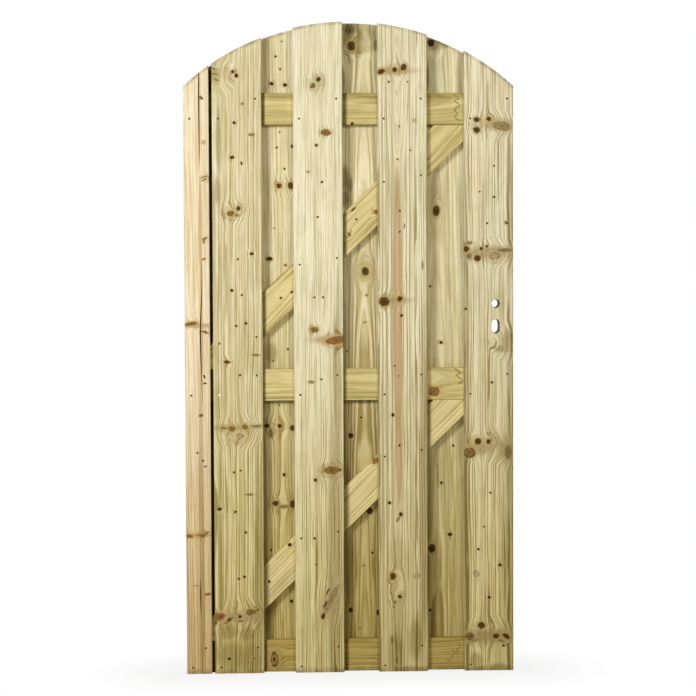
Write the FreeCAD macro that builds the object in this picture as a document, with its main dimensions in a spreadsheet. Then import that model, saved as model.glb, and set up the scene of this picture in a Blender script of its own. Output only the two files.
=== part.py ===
"""Arched garden gate leaf: boards nailed to both faces of three rails and two braces.

The boards alternate between front and back, so each gap in front shows a back board. All tops are
sawn to one arch. Millimetres; the origin is the middle of the leaf's foot, +X points to the lock
edge, -Y to the front and +Z up.
"""
import FreeCAD, Part
import math
import os

import Sketcher

Vector = FreeCAD.Vector
TOUCH = 1e-3
PARALLEL = 1e-6
NAIL_HEAD_SIDES = 6
NAIL_SHANK_SIDES = 4

# Driving sizes: alias, value in mm, what it measures
SIZES = (
    ("shoulder_height", 1728, "foot to the arch's two lower ends"),
    ("arch_rise", 187, "shoulder to the top of the arch"),
    ("board_width", 145, "full facing board"),
    ("board_thickness", 18, "every facing board"),
    ("strip_width", 74, "half board at the hinge edge in front and at the lock edge behind"),
    ("slot_width", 9, "slot between the front strip and the first front board"),
    ("hinge_gap", 92, "gap between front boards 1 and 2"),
    ("middle_gap", 103, "gap between front boards 2 and 3"),
    ("lock_gap", 109, "gap between front boards 3 and 4"),
    ("edge_round", 3, "rounding of the planed long edges"),
    ("rail_width", 95, "rail height on the leaf"),
    ("rail_thickness", 28, "rails, braces and lock stile"),
    ("middle_rail_height", 804.5, "foot to the middle rail's lower edge"),
    ("top_rail_drop", 19, "shoulder down to the top rail's upper edge"),
    ("brace_width", 95, "brace, measured square to its length"),
    ("brace_gap", 2, "brace's upper end to the lock stile's line"),
    ("stile_width", 95, "lock stile"),
    ("backset", 52, "lock edge to the centre line of the lock holes"),
    ("spindle_rise", 189.5, "middle rail's upper edge to the spindle hole's centre"),
    ("spindle_hole", 25, "diameter of the handle spindle's hole"),
    ("cylinder_drop", 67, "spindle hole's centre down to the cylinder slot's centre"),
    ("cylinder_slot_width", 25, "slot for the lock cylinder"),
    ("cylinder_slot_length", 41, "end to end, upright"),
    ("nail_shank", 2.8, "diameter"),
    ("nail_head", 6, "diameter"),
    ("nail_head_thickness", 1.2, "set flush with the board"),
    ("nail_cover", 5, "wood left ahead of a nail's end"),
    ("nail_edge", 18, "nail to the long edge of its board"),
    ("front_nail_rise", 29, "front nails above and below a rail's centre line"),
    ("back_nail_rise", 20, "the same behind, clear of the front nails' ends"),
    ("brace_nail_rise", 9.5, "nails above and below the middle of a brace crossing"),
    ("stile_nail_drop", 289, "top rail's lower edge to the front nails in the lock stile"),
    ("stile_nail_end", 60, "ends of the lock stile to the back nails in it"),
)

doc = FreeCAD.newDocument("garden_gate")
sheet = doc.addObject("Spreadsheet::Sheet", "sizes")
for row, (alias, size, note) in enumerate(SIZES, start=1):
    sheet.set(f"A{row}", note)
    sheet.set(f"B{row}", str(size))
    sheet.setAlias(f"B{row}", alias)
doc.recompute()

# Places worked out from the driving sizes
LEAF_WIDTH = (
    "(sizes.strip_width + sizes.slot_width + 4 * sizes.board_width"
    " + sizes.hinge_gap + sizes.middle_gap + sizes.lock_gap)"
)
HINGE_EDGE = f"(-{LEAF_WIDTH} / 2)"
LOCK_EDGE = f"({LEAF_WIDTH} / 2)"
CROWN_HEIGHT = "(sizes.shoulder_height + sizes.arch_rise)"
ARCH_RADIUS = f"((({LEAF_WIDTH} / 2) ^ 2 + sizes.arch_rise ^ 2) / (2 * sizes.arch_rise))"
BOTTOM_RAIL_TOP = "sizes.rail_width"
MIDDLE_RAIL_FOOT = "sizes.middle_rail_height"
MIDDLE_RAIL_TOP = "(sizes.middle_rail_height + sizes.rail_width)"
TOP_RAIL_FOOT = "(sizes.shoulder_height - sizes.top_rail_drop - sizes.rail_width)"
LOCK_CENTRE = f"({LOCK_EDGE} - sizes.backset)"
SPINDLE_HEIGHT = f"({MIDDLE_RAIL_TOP} + sizes.spindle_rise)"
CYLINDER_HEIGHT = f"({SPINDLE_HEIGHT} - sizes.cylinder_drop)"
STILE_LEFT = f"({LOCK_EDGE} - sizes.stile_width)"

# Where each layer's sketch lies: distance in front of the middle plane. Layers grow forward from it.
FRONT_LAYER = "(sizes.rail_thickness / 2)"
RAIL_LAYER = "(-sizes.rail_thickness / 2)"
BACK_LAYER = "(-sizes.rail_thickness / 2 - sizes.board_thickness)"


def value(expression):
    """Return an expression of the driving sizes as a number of millimetres."""
    return float(sheet.evalExpression(expression))


def add_sketch(body, name, layer):
    """Add a sketch on the body's XZ plane, moved forward to its layer."""
    plane = next(item for item in body.Origin.OriginFeatures if item.Role == "XZ_Plane")
    sketch = body.newObject("Sketcher::SketchObject", f"{body.Name}_{name}")
    sketch.AttachmentSupport = [(plane, "")]
    sketch.MapMode = "FlatFace"
    sketch.setExpression(".AttachmentOffset.Base.z", layer)
    return sketch


def constrain(sketch, kind, *where):
    """Add a geometric constraint, which carries no size."""
    sketch.addConstraint(Sketcher.Constraint(kind, *where))


def dimension(sketch, name, kind, *where, size):
    """Add a named dimension and bind it to an expression of the driving sizes."""
    sketch.addConstraint(Sketcher.Constraint(kind, *where, value(size)))
    sketch.renameConstraint(sketch.ConstraintCount - 1, name)
    sketch.setExpression(f"Constraints.{name}", size)


def join_ends(sketch, pieces):
    """Close a chain of lines and arcs, each end on the next piece's start."""
    for piece in range(pieces):
        constrain(sketch, "Coincident", piece, 2, (piece + 1) % pieces, 1)


def draw_outline(sketch, corners):
    """Draw a closed outline of straight lines through the corners."""
    count = len(corners)
    for index, corner in enumerate(corners):
        following = corners[(index + 1) % count]
        sketch.addGeometry(Part.LineSegment(Vector(*corner, 0), Vector(*following, 0)))
    join_ends(sketch, count)


def grow(body, sketch, thickness):
    """Pad a sketch forward by one of the driving thicknesses."""
    pad = body.newObject("PartDesign::Pad", f"{body.Name}_pad")
    pad.Profile = sketch
    pad.setExpression("Length", thickness)
    doc.recompute()
    return pad


def round_long_edges(body, solid, along):
    """Ease the four planed edges that run along the given direction."""
    names = []
    for number, edge in enumerate(solid.Shape.Edges, start=1):
        straight = isinstance(edge.Curve, Part.Line)
        if straight and edge.tangentAt(edge.FirstParameter).cross(along).Length < PARALLEL:
            names.append(f"Edge{number}")
    easing = body.newObject("PartDesign::Fillet", f"{body.Name}_easing")
    easing.Base = (solid, names)
    easing.setExpression("Radius", "sizes.edge_round")
    doc.recompute()


def make_board(label, left, width, layer):
    """Make one upright board whose top follows the leaf's arch."""
    body = doc.addObject("PartDesign::Body", f"{label}_blank")
    sketch = add_sketch(body, "outline", layer)
    left_x = value(left)
    right_x = left_x + value(width)
    radius = value(ARCH_RADIUS)
    centre = Vector(0, value(CROWN_HEIGHT) - radius, 0)
    right_angle = math.acos(right_x / radius)
    left_angle = math.acos(left_x / radius)
    right_top = centre.y + radius * math.sin(right_angle)
    left_top = centre.y + radius * math.sin(left_angle)
    circle = Part.Circle(centre, Vector(0, 0, 1), radius)
    foot = Part.LineSegment(Vector(left_x, 0, 0), Vector(right_x, 0, 0))
    lock_side = Part.LineSegment(Vector(right_x, 0, 0), Vector(right_x, right_top, 0))
    arch = Part.ArcOfCircle(circle, right_angle, left_angle)
    hinge_side = Part.LineSegment(Vector(left_x, left_top, 0), Vector(left_x, 0, 0))
    sketch.addGeometry([foot, lock_side, arch, hinge_side])
    join_ends(sketch, 4)
    constrain(sketch, "Horizontal", 0)
    constrain(sketch, "Vertical", 1)
    constrain(sketch, "Vertical", 3)
    constrain(sketch, "PointOnObject", 0, 1, -1)
    constrain(sketch, "PointOnObject", 2, 3, -2)
    dimension(sketch, "left", "DistanceX", -1, 1, 0, 1, size=left)
    dimension(sketch, "width", "DistanceX", 0, 1, 0, 2, size=width)
    dimension(sketch, "arch_radius", "Radius", 2, size=ARCH_RADIUS)
    dimension(sketch, "arch_centre", "DistanceY", -1, 1, 2, 3, size=f"{CROWN_HEIGHT} - {ARCH_RADIUS}")
    round_long_edges(body, grow(body, sketch, "sizes.board_thickness"), Vector(0, 0, 1))
    return body


def make_batten(label, left, foot, width, height, along):
    """Make one straight rail or stile in the middle layer."""
    body = doc.addObject("PartDesign::Body", f"{label}_blank")
    sketch = add_sketch(body, "outline", RAIL_LAYER)
    x, z = value(left), value(foot)
    draw_outline(sketch, [(x, z), (x + value(width), z),
                          (x + value(width), z + value(height)), (x, z + value(height))])
    for line, direction in enumerate(("Horizontal", "Vertical", "Horizontal", "Vertical")):
        constrain(sketch, direction, line)
    dimension(sketch, "left", "DistanceX", -1, 1, 0, 1, size=left)
    dimension(sketch, "foot", "DistanceY", -1, 1, 0, 1, size=foot)
    dimension(sketch, "width", "DistanceX", 0, 1, 0, 2, size=width)
    dimension(sketch, "height", "DistanceY", 1, 1, 1, 2, size=height)
    round_long_edges(body, grow(body, sketch, "sizes.rail_thickness"), along)
    return body


def make_brace(label, foot, top):
    """Make one diagonal, with level ends cut to seat on the rail below and under the rail above.

    Its lower corner is at the hinge edge and its upper corner stops just short of the lock stile.
    """
    body = doc.addObject("PartDesign::Body", f"{label}_blank")
    sketch = add_sketch(body, "outline", RAIL_LAYER)
    reach = f"({STILE_LEFT} - sizes.brace_gap)"
    x0, x1, z0, z1 = value(HINGE_EDGE), value(reach), value(foot), value(top)
    width = value("sizes.brace_width")
    slope = math.atan2(z1 - z0, x1 - x0) + math.asin(width / math.hypot(x1 - x0, z1 - z0))
    cut = width / math.sin(slope)
    draw_outline(sketch, [(x0, z0), (x0 + cut, z0), (x1, z1), (x1 - cut, z1)])
    constrain(sketch, "Horizontal", 0)
    constrain(sketch, "Horizontal", 2)
    constrain(sketch, "Parallel", 1, 3)
    dimension(sketch, "left", "DistanceX", -1, 1, 0, 1, size=HINGE_EDGE)
    dimension(sketch, "foot", "DistanceY", -1, 1, 0, 1, size=foot)
    dimension(sketch, "reach", "DistanceX", -1, 1, 2, 1, size=reach)
    dimension(sketch, "top", "DistanceY", -1, 1, 2, 1, size=top)
    dimension(sketch, "width", "Distance", 0, 1, 1, size="sizes.brace_width")
    along = Vector(math.cos(slope), 0, math.sin(slope))
    round_long_edges(body, grow(body, sketch, "sizes.rail_thickness"), along)
    return body


def bore_for_lock(body):
    """Cut the round spindle hole and, below it, the upright cylinder slot right through."""
    sketch = add_sketch(body, "lock_holes", "0")
    x, spindle_z, slot_z = value(LOCK_CENTRE), value(SPINDLE_HEIGHT), value(CYLINDER_HEIGHT)
    radius = value("sizes.cylinder_slot_width") / 2
    half = value("sizes.cylinder_slot_length") / 2 - radius
    up = Vector(0, 0, 1)
    upper = Part.Circle(Vector(x, slot_z + half, 0), up, radius)
    lower = Part.Circle(Vector(x, slot_z - half, 0), up, radius)
    sketch.addGeometry([
        Part.ArcOfCircle(upper, 0, math.pi),
        Part.LineSegment(Vector(x - radius, slot_z + half, 0), Vector(x - radius, slot_z - half, 0)),
        Part.ArcOfCircle(lower, math.pi, 2 * math.pi),
        Part.LineSegment(Vector(x + radius, slot_z - half, 0), Vector(x + radius, slot_z + half, 0)),
        Part.Circle(Vector(x, spindle_z, 0), up, value("sizes.spindle_hole") / 2),
    ])
    for piece in range(4):
        constrain(sketch, "Tangent", piece, 2, (piece + 1) % 4, 1)
    constrain(sketch, "Vertical", 1)
    constrain(sketch, "Vertical", 0, 3, 2, 3)
    constrain(sketch, "Vertical", 0, 3, 4, 3)
    reach = "(sizes.cylinder_slot_length - sizes.cylinder_slot_width) / 2"
    dimension(sketch, "slot_radius", "Radius", 0, size="sizes.cylinder_slot_width / 2")
    dimension(sketch, "slot_upper", "DistanceY", -1, 1, 0, 3, size=f"{CYLINDER_HEIGHT} + {reach}")
    dimension(sketch, "slot_lower", "DistanceY", -1, 1, 2, 3, size=f"{CYLINDER_HEIGHT} - {reach}")
    dimension(sketch, "spindle_radius", "Radius", 4, size="sizes.spindle_hole / 2")
    dimension(sketch, "spindle_height", "DistanceY", -1, 1, 4, 3, size=SPINDLE_HEIGHT)
    dimension(sketch, "lock_centre", "DistanceX", -1, 1, 4, 3, size=LOCK_CENTRE)
    solid_before = body.Shape.Volume
    pocket = body.newObject("PartDesign::Pocket", f"{body.Name}_bore")
    pocket.Profile = sketch
    pocket.Type = "ThroughAll"
    pocket.SideType = "Symmetric"
    doc.recompute()
    if body.Shape.Volume >= solid_before:
        raise RuntimeError(f"{body.Name}: the lock holes cut nothing")


def make_nail():
    """Make the one nail that all groups repeat: head's face at the origin, shank along +Z.

    Head and shank are drawn with few flat sides, because the leaf holds many and each leaves a hole.
    """
    head = doc.addObject("Part::Prism", "nail_top")
    head.setExpression("Circumradius", "sizes.nail_head / 2")
    head.setExpression("Height", "sizes.nail_head_thickness")
    shank = doc.addObject("Part::Prism", "nail_stem")
    shank.setExpression("Circumradius", "sizes.nail_shank / 2")
    shank.setExpression("Height", "sizes.board_thickness + sizes.rail_thickness - sizes.nail_cover")
    head.Polygon = NAIL_HEAD_SIDES
    shank.Polygon = NAIL_SHANK_SIDES
    whole = doc.addObject("Part::Fuse", "nail")
    whole.Base = head
    whole.Tool = shank
    doc.recompute()
    return whole


def drive_nails(label, places, from_front):
    """Repeat the nail at each place (x, z), heads flush with the front or the back of the leaf."""
    away = -1 if from_front else 1
    face = away * value("sizes.rail_thickness / 2 + sizes.board_thickness")
    turn = FreeCAD.Rotation(Vector(1, 0, 0), away * 90)
    driven = []
    for x, z in places:
        copy = nail.Shape.copy()
        copy.Placement = FreeCAD.Placement(Vector(x, face, z), turn)
        driven.append(copy)
    group = doc.addObject("Part::Feature", label)
    group.Shape = Part.Compound(driven)
    group.Placement = FreeCAD.Placement()
    return group


def cut_for_nails(label, blank, nails):
    """Give a piece the holes that its nails fill, and the label of a finished sub-part."""
    cut = doc.addObject("Part::Cut", label)
    cut.Label = label
    cut.Base = blank
    cut.Tool = nails
    return cut


def brace_middle(sketch, x):
    """Return the height of a brace's centre line at x, from its solved outline."""
    lower_edge, upper_edge = sketch.Geometry[1], sketch.Geometry[3]
    heights = []
    for edge in (lower_edge, upper_edge):
        start, end = edge.StartPoint, edge.EndPoint
        heights.append(start.y + (x - start.x) * (end.y - start.y) / (end.x - start.x))
    return sum(heights) / 2


# Rails, braces and the lock stile: the middle layer
ALONG_X, ALONG_Z = Vector(1, 0, 0), Vector(0, 0, 1)
STILE_HEIGHT = f"({TOP_RAIL_FOOT} - {MIDDLE_RAIL_TOP})"
RAIL_FEET = {"bottom_rail": "0", "middle_rail": MIDDLE_RAIL_FOOT, "top_rail": TOP_RAIL_FOOT}
blanks = {}
for label, foot in RAIL_FEET.items():
    blanks[label] = make_batten(label, HINGE_EDGE, foot, LEAF_WIDTH, "sizes.rail_width", ALONG_X)
blanks["lower_brace"] = make_brace("lower_brace", BOTTOM_RAIL_TOP, MIDDLE_RAIL_FOOT)
blanks["upper_brace"] = make_brace("upper_brace", MIDDLE_RAIL_TOP, TOP_RAIL_FOOT)
blanks["lock_stile"] = make_batten(
    "lock_stile", STILE_LEFT, MIDDLE_RAIL_TOP, "sizes.stile_width", STILE_HEIGHT, ALONG_Z
)
bore_for_lock(blanks["lock_stile"])

# Front boards from the hinge edge to the lock edge: label, width, space to the next one
FRONT_ROW = (
    ("front_strip", "sizes.strip_width", "sizes.slot_width"),
    ("front_board_1", "sizes.board_width", "sizes.hinge_gap"),
    ("front_board_2", "sizes.board_width", "sizes.middle_gap"),
    ("front_board_3", "sizes.board_width", "sizes.lock_gap"),
    ("front_board_4", "sizes.board_width", None),
)
boards = []
gap_middles = []
left = HINGE_EDGE
for label, width, space in FRONT_ROW:
    boards.append((label, left, width, FRONT_LAYER))
    if space:
        gap_middles.append(f"{left} + {width} + {space} / 2")
        left = f"({left} + {width} + {space})"

# Back boards: one at the hinge edge behind the slot, one behind the middle of each wide gap, and
# the half board at the lock edge
boards.append(("back_board_1", HINGE_EDGE, "sizes.board_width", BACK_LAYER))
for number, gap_middle in enumerate(gap_middles[1:], start=2):
    behind_gap = f"({gap_middle} - sizes.board_width / 2)"
    boards.append((f"back_board_{number}", behind_gap, "sizes.board_width", BACK_LAYER))
boards.append(("back_strip", f"({LOCK_EDGE} - sizes.strip_width)", "sizes.strip_width", BACK_LAYER))

# Each board with its nails: two in each rail, and two in each brace where both find wood
nail = make_nail()
edge = value("sizes.nail_edge")
rail_half = value("sizes.rail_width") / 2
brace_rise = value("sizes.brace_nail_rise")
stile_left, stile_right = value(STILE_LEFT), value(LOCK_EDGE)
stile_foot, stile_top = value(MIDDLE_RAIL_TOP), value(TOP_RAIL_FOOT)
nail_groups = []
finished = []
for label, left, width, layer in boards:
    in_front = layer == FRONT_LAYER
    blank = make_board(label, left, width, layer)
    first = value(left) + edge
    last = value(left) + value(width) - edge
    # Seen from the face they are driven from, the right-hand nail is the higher one
    rise = value("sizes.front_nail_rise") if in_front else -value("sizes.back_nail_rise")
    places = []
    for foot in RAIL_FEET.values():
        middle = value(foot) + rail_half
        places += [(first, middle - rise), (last, middle + rise)]
    for brace in ("lower_brace", "upper_brace"):
        middle = brace_middle(doc.getObject(f"{brace}_blank_outline"), (first + last) / 2)
        pair = [(first, middle - brace_rise), (last, middle + brace_rise)]
        if all(blanks[brace].Shape.isInside(Vector(x, 0, z), TOUCH, False) for x, z in pair):
            places += pair
    if label == "front_board_4":
        height = stile_top - value("sizes.stile_nail_drop")
        places += [(stile_left + edge, height), (stile_right - edge, height)]
        bore_for_lock(blank)
    if label == "back_strip":
        end = value("sizes.stile_nail_end")
        places += [(x, z) for x in (first, last) for z in (stile_foot + end, stile_top - end)]
        bore_for_lock(blank)
    nails = drive_nails(f"{label}_nails", places, in_front)
    nail_groups.append(nails)
    finished.append(cut_for_nails(label, blank, nails))

all_nails = doc.addObject("Part::Compound", "all_nails")
all_nails.Links = nail_groups
for label, blank in blanks.items():
    finished.append(cut_for_nails(label, blank, all_nails))
finished += nail_groups
doc.recompute()

# Nothing is written unless every object and every finished piece is sound
for item in doc.Objects:
    if "Invalid" in item.State or "Error" in item.State:
        raise RuntimeError(f"{item.Name} failed: {item.State}")
for piece in finished:
    if piece.Shape.isNull() or not piece.Shape.isValid():
        raise RuntimeError(f"{piece.Label} has no valid shape")

os.makedirs("parts", exist_ok=True)
for piece in finished:
    piece.Shape.exportStep(f"parts/{piece.Label}.step")
    box = piece.Shape.BoundBox
    print(f"{piece.Label}: {len(piece.Shape.Solids)} solid(s), {piece.Shape.Volume / 1000:.1f} cm3, "
          f"x {box.XMin:.1f}..{box.XMax:.1f} y {box.YMin:.1f}..{box.YMax:.1f} "
          f"z {box.ZMin:.1f}..{box.ZMax:.1f}")
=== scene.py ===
"""Arched garden gate leaf of planed, green-treated softwood, dressed and lit for a studio picture.

Metres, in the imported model's frame: the origin is the middle of the leaf's foot, +X runs to the lock
edge, -Y to the front and +Z up. Marks in the wood are in millimetres of the piece that carries them.
"""

import logging
import math
from dataclasses import dataclass, field, replace
from enum import Enum
from typing import NamedTuple

import bmesh
import bpy
from mathutils import Matrix, Vector


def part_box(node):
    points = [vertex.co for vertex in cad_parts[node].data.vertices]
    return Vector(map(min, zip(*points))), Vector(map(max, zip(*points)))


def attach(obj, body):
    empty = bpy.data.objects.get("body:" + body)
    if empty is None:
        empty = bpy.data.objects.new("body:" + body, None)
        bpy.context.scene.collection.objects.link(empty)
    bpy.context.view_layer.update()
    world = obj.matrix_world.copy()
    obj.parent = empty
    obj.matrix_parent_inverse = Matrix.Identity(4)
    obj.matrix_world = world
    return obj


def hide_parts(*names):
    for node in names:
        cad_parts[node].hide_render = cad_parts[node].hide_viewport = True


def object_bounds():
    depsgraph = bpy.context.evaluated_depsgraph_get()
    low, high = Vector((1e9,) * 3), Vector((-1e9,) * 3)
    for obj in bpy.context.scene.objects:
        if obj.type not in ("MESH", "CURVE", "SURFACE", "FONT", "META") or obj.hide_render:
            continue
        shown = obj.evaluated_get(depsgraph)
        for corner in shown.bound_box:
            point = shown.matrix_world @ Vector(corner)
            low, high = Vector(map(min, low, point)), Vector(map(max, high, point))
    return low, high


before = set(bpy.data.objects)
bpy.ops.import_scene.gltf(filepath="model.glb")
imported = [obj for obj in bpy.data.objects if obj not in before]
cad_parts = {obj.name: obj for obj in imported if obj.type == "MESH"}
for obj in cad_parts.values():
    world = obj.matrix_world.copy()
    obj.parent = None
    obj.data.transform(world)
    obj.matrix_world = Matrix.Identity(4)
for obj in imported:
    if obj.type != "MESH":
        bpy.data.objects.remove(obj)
CAD_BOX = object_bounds()

Colour = tuple[float, float, float]
Triple = tuple[float, float, float]
Span = tuple[float, float]
Point = tuple[float, float]
Settings = dict[str, object]
Feeds = dict[int | str, object]

MM = 0.001
FAR = 1e6
BARK = (0.045, 0.025, 0.009)
# Colour of the painted shade along the sawn arch and foot
RIM_SHADE_COLOUR = (0.17, 0.13, 0.045)
WHITE = (1.0, 1.0, 1.0)
CREASE = math.radians(35.0)
LOG = logging.getLogger("garden_gate")


@dataclass(frozen=True)
class Arch:
    """The circle that all board tops are sawn to, from its crown and one more point on it. Metres."""

    crown: float
    point_x: float
    point_z: float

    @property
    def radius(self) -> float:
        """Return the circle's radius."""
        drop = self.crown - self.point_z
        return (self.point_x ** 2 + drop ** 2) / (2 * drop)

    @property
    def centre(self) -> float:
        """Return the height of the circle's centre."""
        return self.crown - self.radius

    def height(self, x: float) -> float:
        """Return the height of the arch at x."""
        return self.centre + math.sqrt(self.radius ** 2 - x ** 2)


STRIP_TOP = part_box("front_strip")[1]
ARCH = Arch(CAD_BOX[1].z, STRIP_TOP.x, STRIP_TOP.z)


class Patch(NamedTuple):
    """An uneven pattern: size of its patches, shift of the seed, octaves of detail.

    high and low are the values between which its upper and its lower patches ease in.
    """

    size: Triple
    shift: float
    detail: float = 1.0
    high: Span = (0.5, 1.0)
    low: Span = (0.5, 0.0)


# Patterns in the wood, in mm across, through and along the grain
WAVE = Patch((70.0, 70.0, 480.0), 0.3, 1.5)
CURL = Patch((13.0, 13.0, 17.0), 5.7)
CONTOUR = Patch((18.0, 18.0, 190.0), 8.8)
LATE_WOOD = Patch((20.0, 20.0, 240.0), 9.7, 1.0, (0.36, 0.6))
BROAD = Patch((34.0, 34.0, 800.0), 0.7, 1.0, (0.36, 0.64))
GREENISH = Patch((22.0, 22.0, 360.0), 1.9, 2.0, (0.45, 0.7))
CLOUDS = Patch((30.0, 30.0, 85.0), 2.3, 2.0, (0.5, 0.72), (0.5, 0.28))
STREAKS = Patch((2.8, 9.0, 210.0), 4.2, 2.0, (0.46, 0.72), (0.5, 0.28))
RAGGED = Patch((9.0, 9.0, 9.0), 2.6, 1.5)
FRAYED = Patch((3.0, 3.0, 3.0), 6.1, 1.5)
GENTLE = Patch((40.0, 40.0, 260.0), 0.9, 1.5)
SPECKLE = Patch((4.0, 4.0, 4.0), 3.1, 2.0, (0.46, 0.7))
BROKEN = Patch((11.0, 11.0, 11.0), 7.4, 2.0, (0.4, 0.58))

# Patterns in metres
# Patches in the painted shade along the sawn arch and foot
RIM_PATCH = Patch((0.03, 0.03, 0.03), 4.9, 1.0, (0.35, 0.62))
RUST = Patch((0.003, 0.003, 0.003), 0.4, 3.0, (0.4, 0.62))


class Signal:
    """One output socket that takes part in Python arithmetic; each operator adds a Math node."""

    def __init__(self, bench: "ShaderBench", socket: bpy.types.NodeSocket) -> None:
        """Keep the bench and the socket."""
        self.bench = bench
        self.socket = socket

    def math(self, operation: str, *terms: "Signal | float") -> "Signal":
        """Add a Math node of the given operation on the terms."""
        return self.bench.node("ShaderNodeMath", {"operation": operation}, dict(enumerate(terms)))

    def __add__(self, other: "Signal | float") -> "Signal":
        """Add."""
        return self.math("ADD", self, other)

    def __radd__(self, other: float) -> "Signal":
        """Add, number first."""
        return self.math("ADD", other, self)

    def __sub__(self, other: "Signal | float") -> "Signal":
        """Subtract."""
        return self.math("SUBTRACT", self, other)

    def __rsub__(self, other: float) -> "Signal":
        """Subtract from a number."""
        return self.math("SUBTRACT", other, self)

    def __mul__(self, other: "Signal | float") -> "Signal":
        """Multiply."""
        return self.math("MULTIPLY", self, other)

    def __rmul__(self, other: float) -> "Signal":
        """Multiply, number first."""
        return self.math("MULTIPLY", other, self)

    def __truediv__(self, other: "Signal | float") -> "Signal":
        """Divide."""
        return self.math("DIVIDE", self, other)

    def __rtruediv__(self, other: float) -> "Signal":
        """Divide a number."""
        return self.math("DIVIDE", other, self)

    def __pow__(self, other: "Signal | float") -> "Signal":
        """Raise to a power."""
        return self.math("POWER", self, other)

    def __rpow__(self, other: float) -> "Signal":
        """Raise a number to a power."""
        return self.math("POWER", other, self)

    def lesser(self, other: "Signal | float") -> "Signal":
        """Return the lesser of two values."""
        return self.math("MINIMUM", self, other)

    def greater(self, other: "Signal | float") -> "Signal":
        """Return the greater of two values."""
        return self.math("MAXIMUM", self, other)

    def smooth(self, start: float, end: float, low: float = 0.0, high: float = 1.0) -> "Signal":
        """Ease from low to high while the value goes from start to end.

        Args:
            start: value at which the result is low.
            end: value at which the result is high; it may be the lesser one.
            low: result up to start.
            high: result from end on.

        Returns:
            The eased signal.
        """
        sockets = {"Value": self, "From Min": start, "From Max": end, "To Min": low, "To Max": high}
        return self.bench.node("ShaderNodeMapRange", {"interpolation_type": "SMOOTHSTEP"}, sockets)

    def vector(self, operation: str, feeds: Feeds, output: int | str = 0) -> "Signal":
        """Add a Vector Math node whose first socket takes this signal.

        Args:
            operation: the node's operation.
            feeds: what fills the node's further sockets, by place or name.
            output: place or name of the output.

        Returns:
            The chosen output.
        """
        return self.bench.node("ShaderNodeVectorMath", {"operation": operation}, {0: self, **feeds}, output)

    def length(self) -> "Signal":
        """Return a vector's length."""
        return self.vector("LENGTH", {}, "Value")

    def parts(self, kind: str = "ShaderNodeSeparateXYZ") -> "tuple[Signal, Signal, Signal]":
        """Split a vector, or with the other kind of node a colour, into its three parts."""
        outputs = self.bench.node(kind, None, {0: self}).socket.node.outputs
        return tuple(Signal(self.bench, outputs[axis]) for axis in range(3))


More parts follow.
